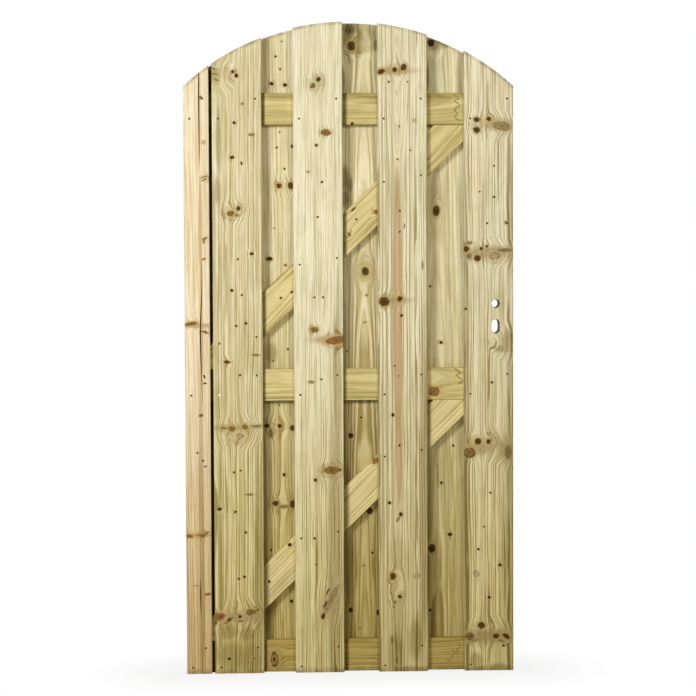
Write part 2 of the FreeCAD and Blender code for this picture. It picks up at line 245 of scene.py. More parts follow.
class ShaderBench:
    """The node tree of one material or of the world, with one way to add any node."""

    SEED_STEPS = (310.0, 170.0, 930.0)
    NOISE_ROUGHNESS = 0.55

    def __init__(self, tree: bpy.types.NodeTree) -> None:
        """Start from an empty tree."""
        self.tree = tree
        self.tree.nodes.clear()

    @staticmethod
    def find(sockets: bpy.types.bpy_prop_collection, key: int | str) -> bpy.types.NodeSocket:
        """Find one of a node's sockets.

        Args:
            sockets: the node's inputs or outputs.
            key: the socket's place, identifier or name.

        Returns:
            The socket.
        """
        if isinstance(key, int):
            return sockets[key]
        return next(socket for socket in sockets if key in (socket.identifier, socket.name))

    def node(self, kind: str, settings: Settings | None = None, feeds: Feeds | None = None,
             output: int | str = 0) -> Signal:
        """Add a node, set it and feed its sockets.

        Args:
            kind: the node's type.
            settings: properties of the node, which are set first.
            feeds: values or signals by socket place or name.
            output: place or name of the output to return.

        Returns:
            The chosen output as a signal.
        """
        made = self.tree.nodes.new(kind)
        for name, setting in (settings or {}).items():
            setattr(made, name, setting)
        for key, feed in (feeds or {}).items():
            socket = self.find(made.inputs, key)
            if isinstance(feed, Signal):
                self.tree.links.new(feed.socket, socket)
            elif isinstance(feed, tuple) and socket.type == "RGBA":
                socket.default_value = (*feed, 1.0)
            else:
                socket.default_value = feed
        return Signal(self, self.find(made.outputs, output))

    def mapped(self, place: Signal, centre: Triple, size: Triple, turn: float = 0.0) -> Signal:
        """Measure a place from a centre, in units of a size, on axes turned about Y.

        Args:
            place: the vector to measure.
            centre: where the result is zero.
            size: length of one unit along each axis.
            turn: turn of the axes about Y in radians.

        Returns:
            The measured vector.
        """
        feeds = {"Vector": place, "Location": centre, "Rotation": (0.0, turn, 0.0), "Scale": size}
        return self.node("ShaderNodeMapping", {"vector_type": "TEXTURE"}, feeds)

    def noise(self, place: Signal, patch: Patch, seed: float = 0.0, output: str = "Fac") -> Signal:
        """Add cloudy noise.

        Args:
            place: where to read it.
            patch: its pattern.
            seed: moves the pattern, so that pieces differ.
            output: "Fac" for one value, "Color" for three.

        Returns:
            The noise.
        """
        start = tuple((seed + patch.shift) * step for step in self.SEED_STEPS)
        feeds = {"Vector": self.mapped(place, start, patch.size), "Scale": 1.0, "Detail": patch.detail,
                 "Roughness": self.NOISE_ROUGHNESS}
        return self.node("ShaderNodeTexNoise", {"noise_dimensions": "3D"}, feeds, output)

    def shaken(self, place: Signal, patch: Patch, seed: float, reach: Triple) -> Signal:
        """Move places to and fro in patches.

        Args:
            place: the places to move.
            patch: the pattern of the moves.
            seed: moves the pattern.
            reach: greatest way along each axis.

        Returns:
            The moved places.
        """
        shifts = self.noise(place, patch, seed, "Color").parts("ShaderNodeSeparateColor")
        ways = {axis: shift.math("MULTIPLY_ADD", shift, 2 * way, -way)
                for axis, (shift, way) in enumerate(zip(shifts, reach)) if way}
        return place.vector("ADD", {1: self.node("ShaderNodeCombineXYZ", None, ways)})

    def mix(self, share: Signal | float, first: Signal | Colour, second: Signal | Colour,
            blend: str = "MIX") -> Signal:
        """Mix two colours.

        Args:
            share: how much of the second colour shows.
            first: colour at share 0.
            second: colour at share 1.
            blend: the Mix node's blend type.

        Returns:
            The mixed colour.
        """
        feeds = {"Factor_Float": share, "A_Color": first, "B_Color": second}
        settings = {"data_type": "RGBA", "blend_type": blend}
        return self.node("ShaderNodeMix", settings, feeds, "Result_Color")

    def finish(self, kind: str, shader: Signal) -> None:
        """Wire a shader to a new output node of the given type."""
        end = self.tree.nodes.new(kind)
        self.tree.links.new(shader.socket, end.inputs["Surface"])


def new_bench(name: str) -> tuple[bpy.types.Material, ShaderBench]:
    """Start a material.

    Args:
        name: the material's name.

    Returns:
        The material and the bench of its node tree.
    """
    material = bpy.data.materials.new(name)
    material.use_nodes = True
    return material, ShaderBench(material.node_tree)


class KnotTone(NamedTuple):
    """How one kind of knot looks: colours from its middle outwards and how strongly each part shows.

    A ragged one has rings, specks and a frayed outline. blend is how its halo joins the wood, and depth
    is how far below the front face, in mm, it can be seen.
    """

    core: Colour
    edge: Colour
    halo: Colour
    share: float
    outline_share: float
    halo_share: float
    ragged: bool = True
    blend: str = "MIX"
    depth: float = FAR


class KnotKind(Enum):
    """The kinds of knot and other mark that the pieces show, from the lowest to the topmost."""

    # Darker wood in some places, painted shade in the gaps and along edges in others
    SHADE = KnotTone(WHITE, WHITE, (0.49, 0.44, 0.28), 0.0, 0.0, 0.65, False, "MULTIPLY", 6.0)
    # Deeper painted shade in the gaps, under rails and along braces; on the back boards also dark stains
    DUSK = KnotTone(WHITE, WHITE, (0.23, 0.215, 0.12), 0.0, 0.0, 0.75, False, "MULTIPLY", 6.0)
    HEART = KnotTone((0.57, 0.39, 0.195), (0.44, 0.29, 0.12), (0.72, 0.57, 0.34), 0.72, 0.0, 0.3, False)
    VEIN = KnotTone((0.34, 0.25, 0.10), (0.36, 0.27, 0.11), (0.60, 0.48, 0.27), 0.6, 0.0, 0.2, False)
    SMEAR = KnotTone((0.36, 0.26, 0.10), (0.40, 0.30, 0.12), (0.43, 0.33, 0.145), 0.25, 0.0, 0.58)
    PALE = KnotTone((0.50, 0.33, 0.15), (0.40, 0.26, 0.11), (0.62, 0.50, 0.27), 0.5, 0.7, 0.4)
    BRANCH = KnotTone((0.32, 0.225, 0.085), (0.43, 0.325, 0.135), (0.55, 0.455, 0.22), 0.85, 0.35, 0.6)
    OLIVE = KnotTone((0.11, 0.075, 0.02), (0.25, 0.18, 0.055), (0.44, 0.36, 0.14), 0.7, 0.2, 0.5)
    AMBER = KnotTone((0.21, 0.10, 0.015), (0.34, 0.20, 0.05), (0.50, 0.39, 0.15), 0.92, 0.9, 0.6)
    RED = KnotTone((0.24, 0.09, 0.016), (0.37, 0.18, 0.045), (0.62, 0.40, 0.16), 0.9, 0.6, 0.65)
    BROWN = KnotTone((0.045, 0.019, 0.001), (0.15, 0.075, 0.010), (0.50, 0.36, 0.12), 0.96, 0.85, 0.6)
    BLACK = KnotTone((0.015, 0.009, 0.003), (0.06, 0.033, 0.010), (0.46, 0.34, 0.14), 0.97, 0.2, 0.6)
    # Painted shade on the walls of the lock holes, in the slot beside the strip and inside the crack
    BORE = KnotTone((0.05, 0.036, 0.016), (0.07, 0.05, 0.022), (0.40, 0.32, 0.15), 0.95, 0.0, 0.0)


class Knot(NamedTuple):
    """One knot: place across and up the piece, width and height in mm, and tilt in radians.

    depth is its half thickness through the piece and sunk is how deep its middle lies, in mm.
    """

    across: float
    height: float
    width: float
    tall: float
    tilt: float = 0.0
    depth: float = FAR
    sunk: float = 0.0


class Swirl(NamedTuple):
    """Grain that runs round a knot: place, half width and half height in mm.

    push is how far rings move inwards in mm, and parting is how far they part, in half widths.
    """

    across: float
    height: float
    width: float
    tall: float
    push: float = 4.0
    parting: float = 0.5


Knots = dict[KnotKind, tuple[Knot, ...]]

# Least width in mm from which a knot bends the grain round it
BENDING_KNOTS = {KnotKind.AMBER: 13.0, KnotKind.RED: 13.0, KnotKind.BROWN: 12.0, KnotKind.BLACK: 10.0}

# How a bend follows from its knot, in mm
BEND_SCALE = 0.8
BEND_BESIDE = 8.0
BEND_ABOVE = 14.0
BEND_PARTING = 0.4
PUSH_SCALE = 0.06
PUSH_LEAST = 2.0
PUSH_BLACK = 1.0

# How a knot shows by the distance from its middle, in half sizes
KNOT_HALF = 0.47
HALO_SPAN = (2.2, 0.8)
BODY_SPAN = (1.1, 0.9)
CORE_SPAN = (0.1, 0.95)
OUTLINE_OUTSIDE = (1.25, 1.02)
OUTLINE_INSIDE = (0.72, 0.98)
KNOT_RINGS = 11.0
KNOT_RING_SPAN = (0.1, 0.9)
KNOT_RING_SHARE = 0.4
SPECKLE_SHARE = 0.7
RAGGED_REACH = (2.6, 0.0, 2.6)
FRAYED_REACH = (1.1, 0.0, 1.1)
GENTLE_REACH = (2.5, 0.0, 0.0)

# Growth rings: unevenness, and where in a ring its dark line and its pale start ease in and out
RING_DRIFT = 0.05
RING_SEED_STEP = 7.0
RING_UNEVEN = 3.0
RING_WAVINESS = 0.9
LATE_IN = (0.5, 0.88)
LATE_OUT = (1.0, 0.93)
LATE_RANGE = (0.45, 1.25)
LATE_LEAST = 0.45
LATE_MORE = 0.55
EARLY_IN = (0.0, 0.06)
EARLY_OUT = (0.4, 0.05)
STEEP_SPAN = (0.0, 0.45)
STEEP_LEAST = 0.1
LINE_MOST = 0.95

# Wood that is strained round knots: more line, curl in mm, stain
NOISE_MIDDLE = 0.5
STRAIN_LINES = 0.9
STRAIN_CURL = 8.0
STRAIN_CURL_MOST = 1.3
STAIN_SPAN = (0.6, 1.8)
STAIN_SHARE = 0.4

# How strongly the patterns show in bare wood
FIBRE_SPAN = (0.48, 0.78)
FIBRE_SHARE = 0.34
FIBRE_DETAIL = 3.0
GREEN_CLOUDS = 0.3
PALE_CLOUDS = 0.35
EARLY_SHARE = 0.45
PALE_STREAKS = 0.55
DARK_STREAKS = 0.6

# Painted shade along the sawn arch and foot, in metres from the arch and from the foot
RIM_ARCH = (-0.013, -0.001)
RIM_FOOT = (0.02, 0.001)
RIM_LEAST = 0.25


class Lie(NamedTuple):
    """How a piece's own axes lie on the leaf: corner that is its zero, and turn about Y."""

    corner: Triple
    turn: float = 0.0


@dataclass(frozen=True)
class Softwood:
    """Finish of one planed softwood piece. Lengths are in mm of the piece.

    The seed tells pieces apart. Colours: pale, streak, green and bright are tones of bare wood, line that
    of late wood, stain that of wood round knots, and foot darkens the piece from fade's first height to
    its second, in metres on the leaf. Rings are ring wide round a pith that lies across and behind the
    front face and leans with height, behind the face only above lean_from. contrast is how dark their
    lines are and foot_contrast how much darker at the foot, wander how far the grain strays, grain the
    width and length of a fibre, and rim_shade how dark the painted shade along the sawn arch and foot is.
    """

    seed: float
    pale: Colour = (0.76, 0.68, 0.45)
    streak: Colour = (0.74, 0.64, 0.39)
    green: Colour = (0.56, 0.53, 0.25)
    line: Colour = (0.36, 0.285, 0.115)
    bright: Colour = (0.92, 0.87, 0.66)
    stain: Colour = (0.42, 0.31, 0.13)
    foot: Colour = (0.89, 0.835, 0.585)
    fade: Span = (1.3, 0.0)
    ring: float = 7.5
    pith: Point = (72.0, 40.0)
    lean: tuple[float, float] = (0.0, 0.012)
    lean_from: float = 0.0
    contrast: float = 0.75
    foot_contrast: float = 0.9
    greenness: float = 0.45
    wander: float = 3.5
    grain: tuple[float, float] = (2.2, 42.0)
    rim_shade: float = 0.6
    roughness: float = 0.66
    fibre_roughness: float = 0.2
    knot_polish: float = 0.06
    relief: float = 0.35
    relief_height: float = 0.0004
    gloss: float = 0.05
    knots: Knots = field(default_factory=dict)
    swirls: tuple[Swirl, ...] = ()

    def coat(self, name: str, lie: Lie) -> bpy.types.Material:
        """Build the material.

        Args:
            name: the material's name.
            lie: how the piece's own axes lie on the leaf.

        Returns:
            The finished material.
        """
        material, bench = new_bench(name)
        spot = bench.node("ShaderNodeTexCoord", None, None, "Object")
        place = bench.mapped(spot, lie.corner, (MM, MM, MM), lie.turn)
        fine, long = self.grain
        fibre = bench.noise(place, Patch((fine, fine, long), 0.0, FIBRE_DETAIL), self.seed)
        grain, steep, strain = self._grain(bench, place)
        line, early = self._growth_rings(bench, grain)
        low = spot.parts()[2].smooth(*self.fade)
        weight = low * self.foot_contrast + self.contrast
        if strain:
            weight = weight + strain.lesser(1.0) * STRAIN_LINES
        colour = self._bare_wood(bench, grain, (line * steep * weight).lesser(LINE_MOST), early, fibre)
        if strain:
            colour = bench.mix(strain.smooth(*STAIN_SPAN) * STAIN_SHARE, colour, self.stain)
        colour = bench.mix(low, colour, self.foot, "MULTIPLY")
        # Painted shade along the sawn arch and foot
        colour = bench.mix(self._shaded_rim(bench, spot), colour, RIM_SHADE_COLOUR)
        colour, knotty = self._with_knots(bench, place, colour)
        roughness = self.roughness + fibre * self.fibre_roughness - knotty * self.knot_polish
        relief = {"Strength": self.relief, "Distance": self.relief_height, "Height": fibre}
        shader = bench.node("ShaderNodeBsdfPrincipled", None, {
            "Base Color": colour,
            "Roughness": roughness,
            "Normal": bench.node("ShaderNodeBump", None, relief),
            "Specular IOR Level": self.gloss,
        })
        bench.finish("ShaderNodeOutputMaterial", shader)
        return material

    def _shaded_rim(self, bench: ShaderBench, spot: Signal) -> Signal:
        """Find the painted shade along the sawn arch and foot.

        Args:
            bench: where nodes are added.
            spot: the place on the leaf in metres.

        Returns:
            How strongly the edge shows.
        """
        x, _, z = spot.parts()
        above = (z - ARCH.centre).greater(0.0)
        reach = (x * x + above * above) ** 0.5
        top = reach.smooth(*(ARCH.radius + inset for inset in RIM_ARCH))
        foot = z.smooth(*RIM_FOOT)
        uneven = bench.noise(spot, RIM_PATCH, self.seed).smooth(*RIM_PATCH.high, RIM_LEAST)
        return top.greater(foot) * uneven * self.rim_shade

    def bends(self) -> list[Swirl]:
        """List the swirls, with one more for each larger knot.

        Returns:
            All swirls that bend the grain.
        """
        made = list(self.swirls)
        for kind, least in BENDING_KNOTS.items():
            for knot in self.knots.get(kind, ()):
                if knot.width < least:
                    continue
                wide = knot.width * BEND_SCALE + BEND_BESIDE
                tall = knot.tall * BEND_SCALE + BEND_ABOVE
                push = PUSH_BLACK if kind is KnotKind.BLACK else knot.width * PUSH_SCALE + PUSH_LEAST
                made.append(Swirl(knot.across, knot.height, wide, tall, push, BEND_PARTING))
        return made

    def _grain(self, bench: ShaderBench, place: Signal) -> tuple[Signal, Signal, Signal | float]:
        """Find where a place lies in the tree, with the grain bent round the swirls.

        Args:
            bench: where nodes are added.
            place: the place in the piece.

        Returns:
            The place as distance from the pith, depth and height in mm, how steeply the rings meet
            the face, and how near to a swirl it is.
        """
        flow = bench.shaken(place, WAVE, self.seed, (self.wander, self.wander, 0.0))
        x, y, z = flow.parts()
        lift = 0.0
        strain = 0.0
        for swirl in self.bends():
            aside = (x - swirl.across) / swirl.width
            above = (z - swirl.height) / swirl.tall
            near = (aside * aside + above * above).smooth(1.0, 0.0)
            x = x - aside * near * (swirl.parting * swirl.width)
            lift = near * swirl.push + lift
            strain = near + strain
        across = x - (z * self.lean[0] + self.pith[0])
        depth = (z - self.lean_from).greater(0.0) * self.lean[1] + self.pith[1] - y
        radius = (across * across + depth * depth) ** 0.5
        steep = (across.math("ABSOLUTE", across) / radius).smooth(*STEEP_SPAN, STEEP_LEAST)
        radius = radius - lift
        if strain:
            curl = bench.noise(place, CURL, self.seed) - NOISE_MIDDLE
            radius = radius + curl * strain.lesser(STRAIN_CURL_MOST) * STRAIN_CURL
        return bench.node("ShaderNodeCombineXYZ", None, {0: radius, 1: y, 2: z}), steep, strain

    def _growth_rings(self, bench: ShaderBench, grain: Signal) -> tuple[Signal, Signal]:
        """Lay growth rings round the pith.

        Args:
            bench: where nodes are added.
            grain: the place in the tree.

        Returns:
            How strongly a ring's dark line and the pale start of the next ring show.
        """
        radius = grain.parts()[0]
        drift = {"W": radius * RING_DRIFT + self.seed * RING_SEED_STEP, "Scale": 1.0, "Detail": 1.0}
        uneven = bench.node("ShaderNodeTexNoise", {"noise_dimensions": "1D"}, drift)
        contour = bench.noise(grain, CONTOUR, self.seed)
        phase = radius / self.ring + uneven * RING_UNEVEN + contour * RING_WAVINESS
        part = phase.math("FRACT", phase)
        ring = {"W": phase.math("FLOOR", phase) + self.seed}
        weight = bench.node("ShaderNodeTexWhiteNoise", {"noise_dimensions": "1D"}, ring)
        busy = bench.noise(grain, LATE_WOOD, self.seed).smooth(*LATE_WOOD.high, *LATE_RANGE)
        line = part.smooth(*LATE_IN) * part.smooth(*LATE_OUT) * (weight * LATE_MORE + LATE_LEAST) * busy
        return line, part.smooth(*EARLY_OUT) * part.smooth(*EARLY_IN)

    def _bare_wood(self, bench: ShaderBench, grain: Signal, line: Signal, early: Signal,
                   fibre: Signal) -> Signal:
        """Colour the wood between the knots.

        Args:
            bench: where nodes are added.
            grain: the place in the tree.
            line: strength of the ring lines.
            early: strength of the pale start of a ring.
            fibre: fine noise along the grain.

        Returns:
            The wood's colour.
        """
        broad, greenish, clouds, streaks = (
            bench.noise(grain, patch, self.seed) for patch in (BROAD, GREENISH, CLOUDS, STREAKS)
        )
        colour = bench.mix(broad.smooth(*BROAD.high), self.pale, self.streak)
        tints = (
            (greenish.smooth(*GREENISH.high) * self.greenness, self.green),
            (clouds.smooth(*CLOUDS.high) * GREEN_CLOUDS, self.green),
            (clouds.smooth(*CLOUDS.low) * PALE_CLOUDS, self.bright),
            (early * EARLY_SHARE, self.bright),
            (streaks.smooth(*STREAKS.low) * PALE_STREAKS, self.bright),
            (streaks.smooth(*STREAKS.high) * DARK_STREAKS, self.line),
            (line, self.line),
            (fibre.smooth(*FIBRE_SPAN) * FIBRE_SHARE, self.line),
        )
        for share, tint in tints:
            colour = bench.mix(share, colour, tint)
        return colour

    def _reach(self, bench: ShaderBench, place: Signal, kind: KnotKind) -> Signal | None:
        """Measure how far a place lies from the nearest knot of one kind.

        Args:
            bench: where nodes are added.
            place: the place in the piece.
            kind: the kind of knot.

        Returns:
            The distance in half sizes of the knot, or None where the piece has no such knot.
        """
        reach = None
        for knot in self.knots.get(kind, ()):
            centre = (knot.across, knot.sunk, knot.height)
            half = (knot.width * KNOT_HALF, min(knot.depth, kind.value.depth), knot.tall * KNOT_HALF)
            span = bench.mapped(place, centre, half, knot.tilt).length()
            reach = span if reach is None else reach.lesser(span)
        return reach

    def _with_knots(self, bench: ShaderBench, place: Signal,
                    colour: Signal) -> tuple[Signal, Signal | float]:
        """Lay the knots and the other marks, painted shade among them, over the wood.

        Args:
            bench: where nodes are added.
            place: the place in the piece.
            colour: the wood's colour.

        Returns:
            The colour with knots, and how much of a place is knot.
        """
        ragged = bench.shaken(place, RAGGED, self.seed, RAGGED_REACH)
        ragged = bench.shaken(ragged, FRAYED, self.seed, FRAYED_REACH)
        gentle = bench.shaken(place, GENTLE, self.seed, GENTLE_REACH)
        speckle = bench.noise(place, SPECKLE, self.seed).smooth(*SPECKLE.high, 0.0, SPECKLE_SHARE)
        broken = bench.noise(place, BROKEN, self.seed).smooth(*BROKEN.high)
        knotty = 0.0
        for kind in KnotKind:
            tone = kind.value
            reach = self._reach(bench, ragged if tone.ragged else gentle, kind)
            if reach is None:
                continue
            halo = reach.smooth(*HALO_SPAN) * tone.halo_share
            body = reach.smooth(*BODY_SPAN) * tone.share
            outline = reach.smooth(*OUTLINE_OUTSIDE) * reach.smooth(*OUTLINE_INSIDE) * broken
            inside = bench.mix(reach.smooth(*CORE_SPAN), tone.core, tone.edge)
            if tone.ragged:
                turns = reach * KNOT_RINGS
                rings = turns.math("SINE", turns).smooth(*KNOT_RING_SPAN) * KNOT_RING_SHARE
                inside = bench.mix(rings, inside, BARK)
                inside = bench.mix(speckle, inside, BARK)
            colour = bench.mix(halo, colour, tone.halo, tone.blend)
            colour = bench.mix(body, colour, inside)
            colour = bench.mix(outline * tone.outline_share, colour, BARK)
            knotty = body.greater(knotty) if knotty else body
        return colour, knotty


@dataclass(frozen=True)
class NailSteel:
    """Finish of the nails: dull steel with rust in patches."""

    steel: Colour = (0.034, 0.022, 0.008)
    rust: Colour = (0.085, 0.042, 0.012)
    metallic: float = 0.6
    rust_cover: float = 0.5
    roughness: float = 0.5
    rust_roughness: float = 0.35

    def coat(self, name: str) -> bpy.types.Material:
        """Build the material.

        Args:
            name: the material's name.

        Returns:
            The finished material.
        """
        material, bench = new_bench(name)
        spot = bench.node("ShaderNodeTexCoord", None, None, "Object")
        rusty = bench.noise(spot, RUST).smooth(*RUST.high)
        shader = bench.node("ShaderNodeBsdfPrincipled", None, {
            "Base Color": bench.mix(rusty, self.steel, self.rust),
            "Metallic": self.metallic - rusty * self.rust_cover,
            "Roughness": self.roughness + rusty * self.rust_roughness,
        })
        bench.finish("ShaderNodeOutputMaterial", shader)
        return material


def give(piece: bpy.types.Object, *materials: bpy.types.Material) -> None:
    """Put materials on a piece; with more than one, each face keeps the one that it names.

    Args:
        piece: the piece to dress.
        materials: its materials in the order that faces name them.
    """
    chosen = [face.material_index for face in piece.data.polygons]
    piece.data.materials.clear()
    for material in materials:
        piece.data.materials.append(material)
    if len(materials) > 1:
        piece.data.polygons.foreach_set("material_index", chosen)


def new_piece(name: str, shape: bmesh.types.BMesh) -> bpy.types.Object:
    """Turn a finished shape into a smooth-shaded piece that rides on the leaf.

    Args:
        name: the piece's name.
        shape: its faces, which are used up.

    Returns:
        The piece.
    """
    bmesh.ops.recalc_face_normals(shape, faces=shape.faces)
    mesh = bpy.data.meshes.new(name)
    shape.to_mesh(mesh)
    shape.free()
    mesh.shade_smooth()
    mesh.set_sharp_from_angle(angle=CREASE)
    piece = bpy.data.objects.new(name, mesh)
    bpy.context.scene.collection.objects.link(piece)
    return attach(piece, "root")


def corner_of(node: str) -> Triple:
    """Return the lower left front corner of a node, which is zero for its marks."""
    return tuple(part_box(node)[0])


@dataclass
class FacingBoards:
    """The upright boards on both faces, each with its own figure and knots."""

    woods: dict[str, Softwood]

    def dress(self) -> None:
        """Give every board its own wood."""
        for node, wood in self.woods.items():
            give(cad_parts[node], wood.coat(f"{node}_wood", Lie(corner_of(node))))
            LOG.info("board %s dressed", node)


@dataclass
class Framing:
    """The rails, braces and lock stile between the two faces."""

    rails: dict[str, Softwood]
    braces: dict[str, Softwood]
    stile: Softwood
    brace_slope: float = math.radians(44.5)

    def dress(self) -> None:
        """Give every rail, brace and the stile wood whose grain runs along it."""
        for node, wood in self.rails.items():
            low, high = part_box(node)
            self._coat(node, wood, Lie((low.x, low.y, high.z), math.pi / 2))
        for node, wood in self.braces.items():
            self._coat(node, wood, Lie(corner_of(node), math.pi / 2 - self.brace_slope))
        self._coat("lock_stile", self.stile, Lie(corner_of("lock_stile")))

    @staticmethod
    def _coat(node: str, wood: Softwood, lie: Lie) -> None:
        """Give one piece its wood."""
        give(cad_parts[node], wood.coat(f"{node}_wood", lie))
        LOG.info("framing %s dressed", node)


@dataclass
class NailRows:
    """The nails of each board: low domed heads on round shanks. Lengths in metres.

    dome_steps are shares of the head's radius and of the dome's height, and taper is the length of the
    point in shank radii. Corners within flush of the face belong to heads, and those within cluster of
    each other to one head. One nail near bright_place, in x and z, has a bare bright head.
    """

    head_radius: float = 0.0032
    head_depth: float = 0.0012
    dome: float = 0.0006
    dome_steps: tuple[Point, ...] = ((0.55, 0.85), (0.85, 0.45), (1.0, 0.0))
    shank_radius: float = 0.00095
    length: float = 0.041
    taper: float = 3.0
    sides: int = 18
    flush: float = 0.0001
    cluster: float = 0.0096
    finish: NailSteel = NailSteel()
    bright_finish: NailSteel = NailSteel((0.90, 0.84, 0.66), (0.75, 0.66, 0.42))
    bright_place: Point = (-0.383, 0.827)
    bright_reach: float = 0.02

    def places(self, node: str) -> list[Vector]:
        """Find the middle of every nail head in a packed group.

        Args:
            node: the group's node.

        Returns:
            Points on the board's face.
        """
        points = [vertex.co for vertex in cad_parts[node].data.vertices]
        face = max((point.y for point in points), key=abs)
        on_face = [tuple(round(part, 6) for part in point) for point in points
                   if abs(point.y - face) <= self.flush]
        heads: list[list[Triple]] = []
        for corner in dict.fromkeys(on_face):
            near = (head for head in heads if math.dist(corner, head[0]) < self.cluster)
            head = next(near, None)
            if head is None:
                heads.append([corner])
            else:
                head.append(corner)
        return [sum(map(Vector, head), Vector()) / len(head) for head in heads]

    def profile(self) -> list[Point]:
        """List a nail's outline from the dome to the start of its point.

        Returns:
            Radius and depth of each ring.
        """
        head = [(self.head_radius * share, -self.dome * rise) for share, rise in self.dome_steps]
        return head + [
            (self.head_radius, self.head_depth),
            (self.shank_radius, self.head_depth),
            (self.shank_radius, self.length - self.taper * self.shank_radius),
        ]

    def nail(self, shape: bmesh.types.BMesh, place: Vector) -> list[bmesh.types.BMFace]:
        """Make one nail.

        Args:
            shape: the mesh that it joins.
            place: middle of its head on the board's face.

        Returns:
            Its faces.
        """
        inward = -math.copysign(1.0, place.y)
        turns = [math.tau * side / self.sides for side in range(self.sides)]
        rings = []
        for radius, depth in self.profile():
            offsets = (Vector((radius * math.cos(turn), inward * depth, radius * math.sin(turn)))
                       for turn in turns)
            rings.append([shape.verts.new(place + offset) for offset in offsets])
        top = shape.verts.new(place + Vector((0.0, -inward * self.dome, 0.0)))
        tip = shape.verts.new(place + Vector((0.0, inward * self.length, 0.0)))
        loops = []
        for side in range(self.sides):
            after = (side + 1) % self.sides
            loops.append((top, rings[0][side], rings[0][after]))
            loops += [(outer[side], inner[side], inner[after], outer[after])
                      for outer, inner in zip(rings, rings[1:])]
            loops.append((tip, rings[-1][after], rings[-1][side]))
        return [shape.faces.new(loop) for loop in loops]

    def build(self, node: str, materials: tuple[bpy.types.Material, ...]) -> bpy.types.Object:
        """Make one group's nails.

        Args:
            node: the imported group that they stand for.
            materials: their finish and that of the one bright nail.

        Returns:
            The piece that holds them.
        """
        shape = bmesh.new()
        for place in self.places(node):
            bright = place.y < 0 and math.dist((place.x, place.z), self.bright_place) < self.bright_reach
            for face in self.nail(shape, place):
                face.material_index = int(bright)
        piece = new_piece(node.replace("_nails", "_nail_heads"), shape)
        give(piece, *materials)
        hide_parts(node)
        return piece

    def build_all(self) -> None:
        """Make the nails of every board."""
        materials = (self.finish.coat("nail_steel"), self.bright_finish.coat("bright_nail_steel"))
        for node in sorted(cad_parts):
            if node.endswith("_nails"):
                piece = self.build(node, materials)
                LOG.info("nails %s made", piece.name)


class Check(NamedTuple):
    """A drying crack: heights of its ends and of its widest place, width and depth there, in mm."""

    foot: float
    widest: float
    top: float
    width: float
    depth: float


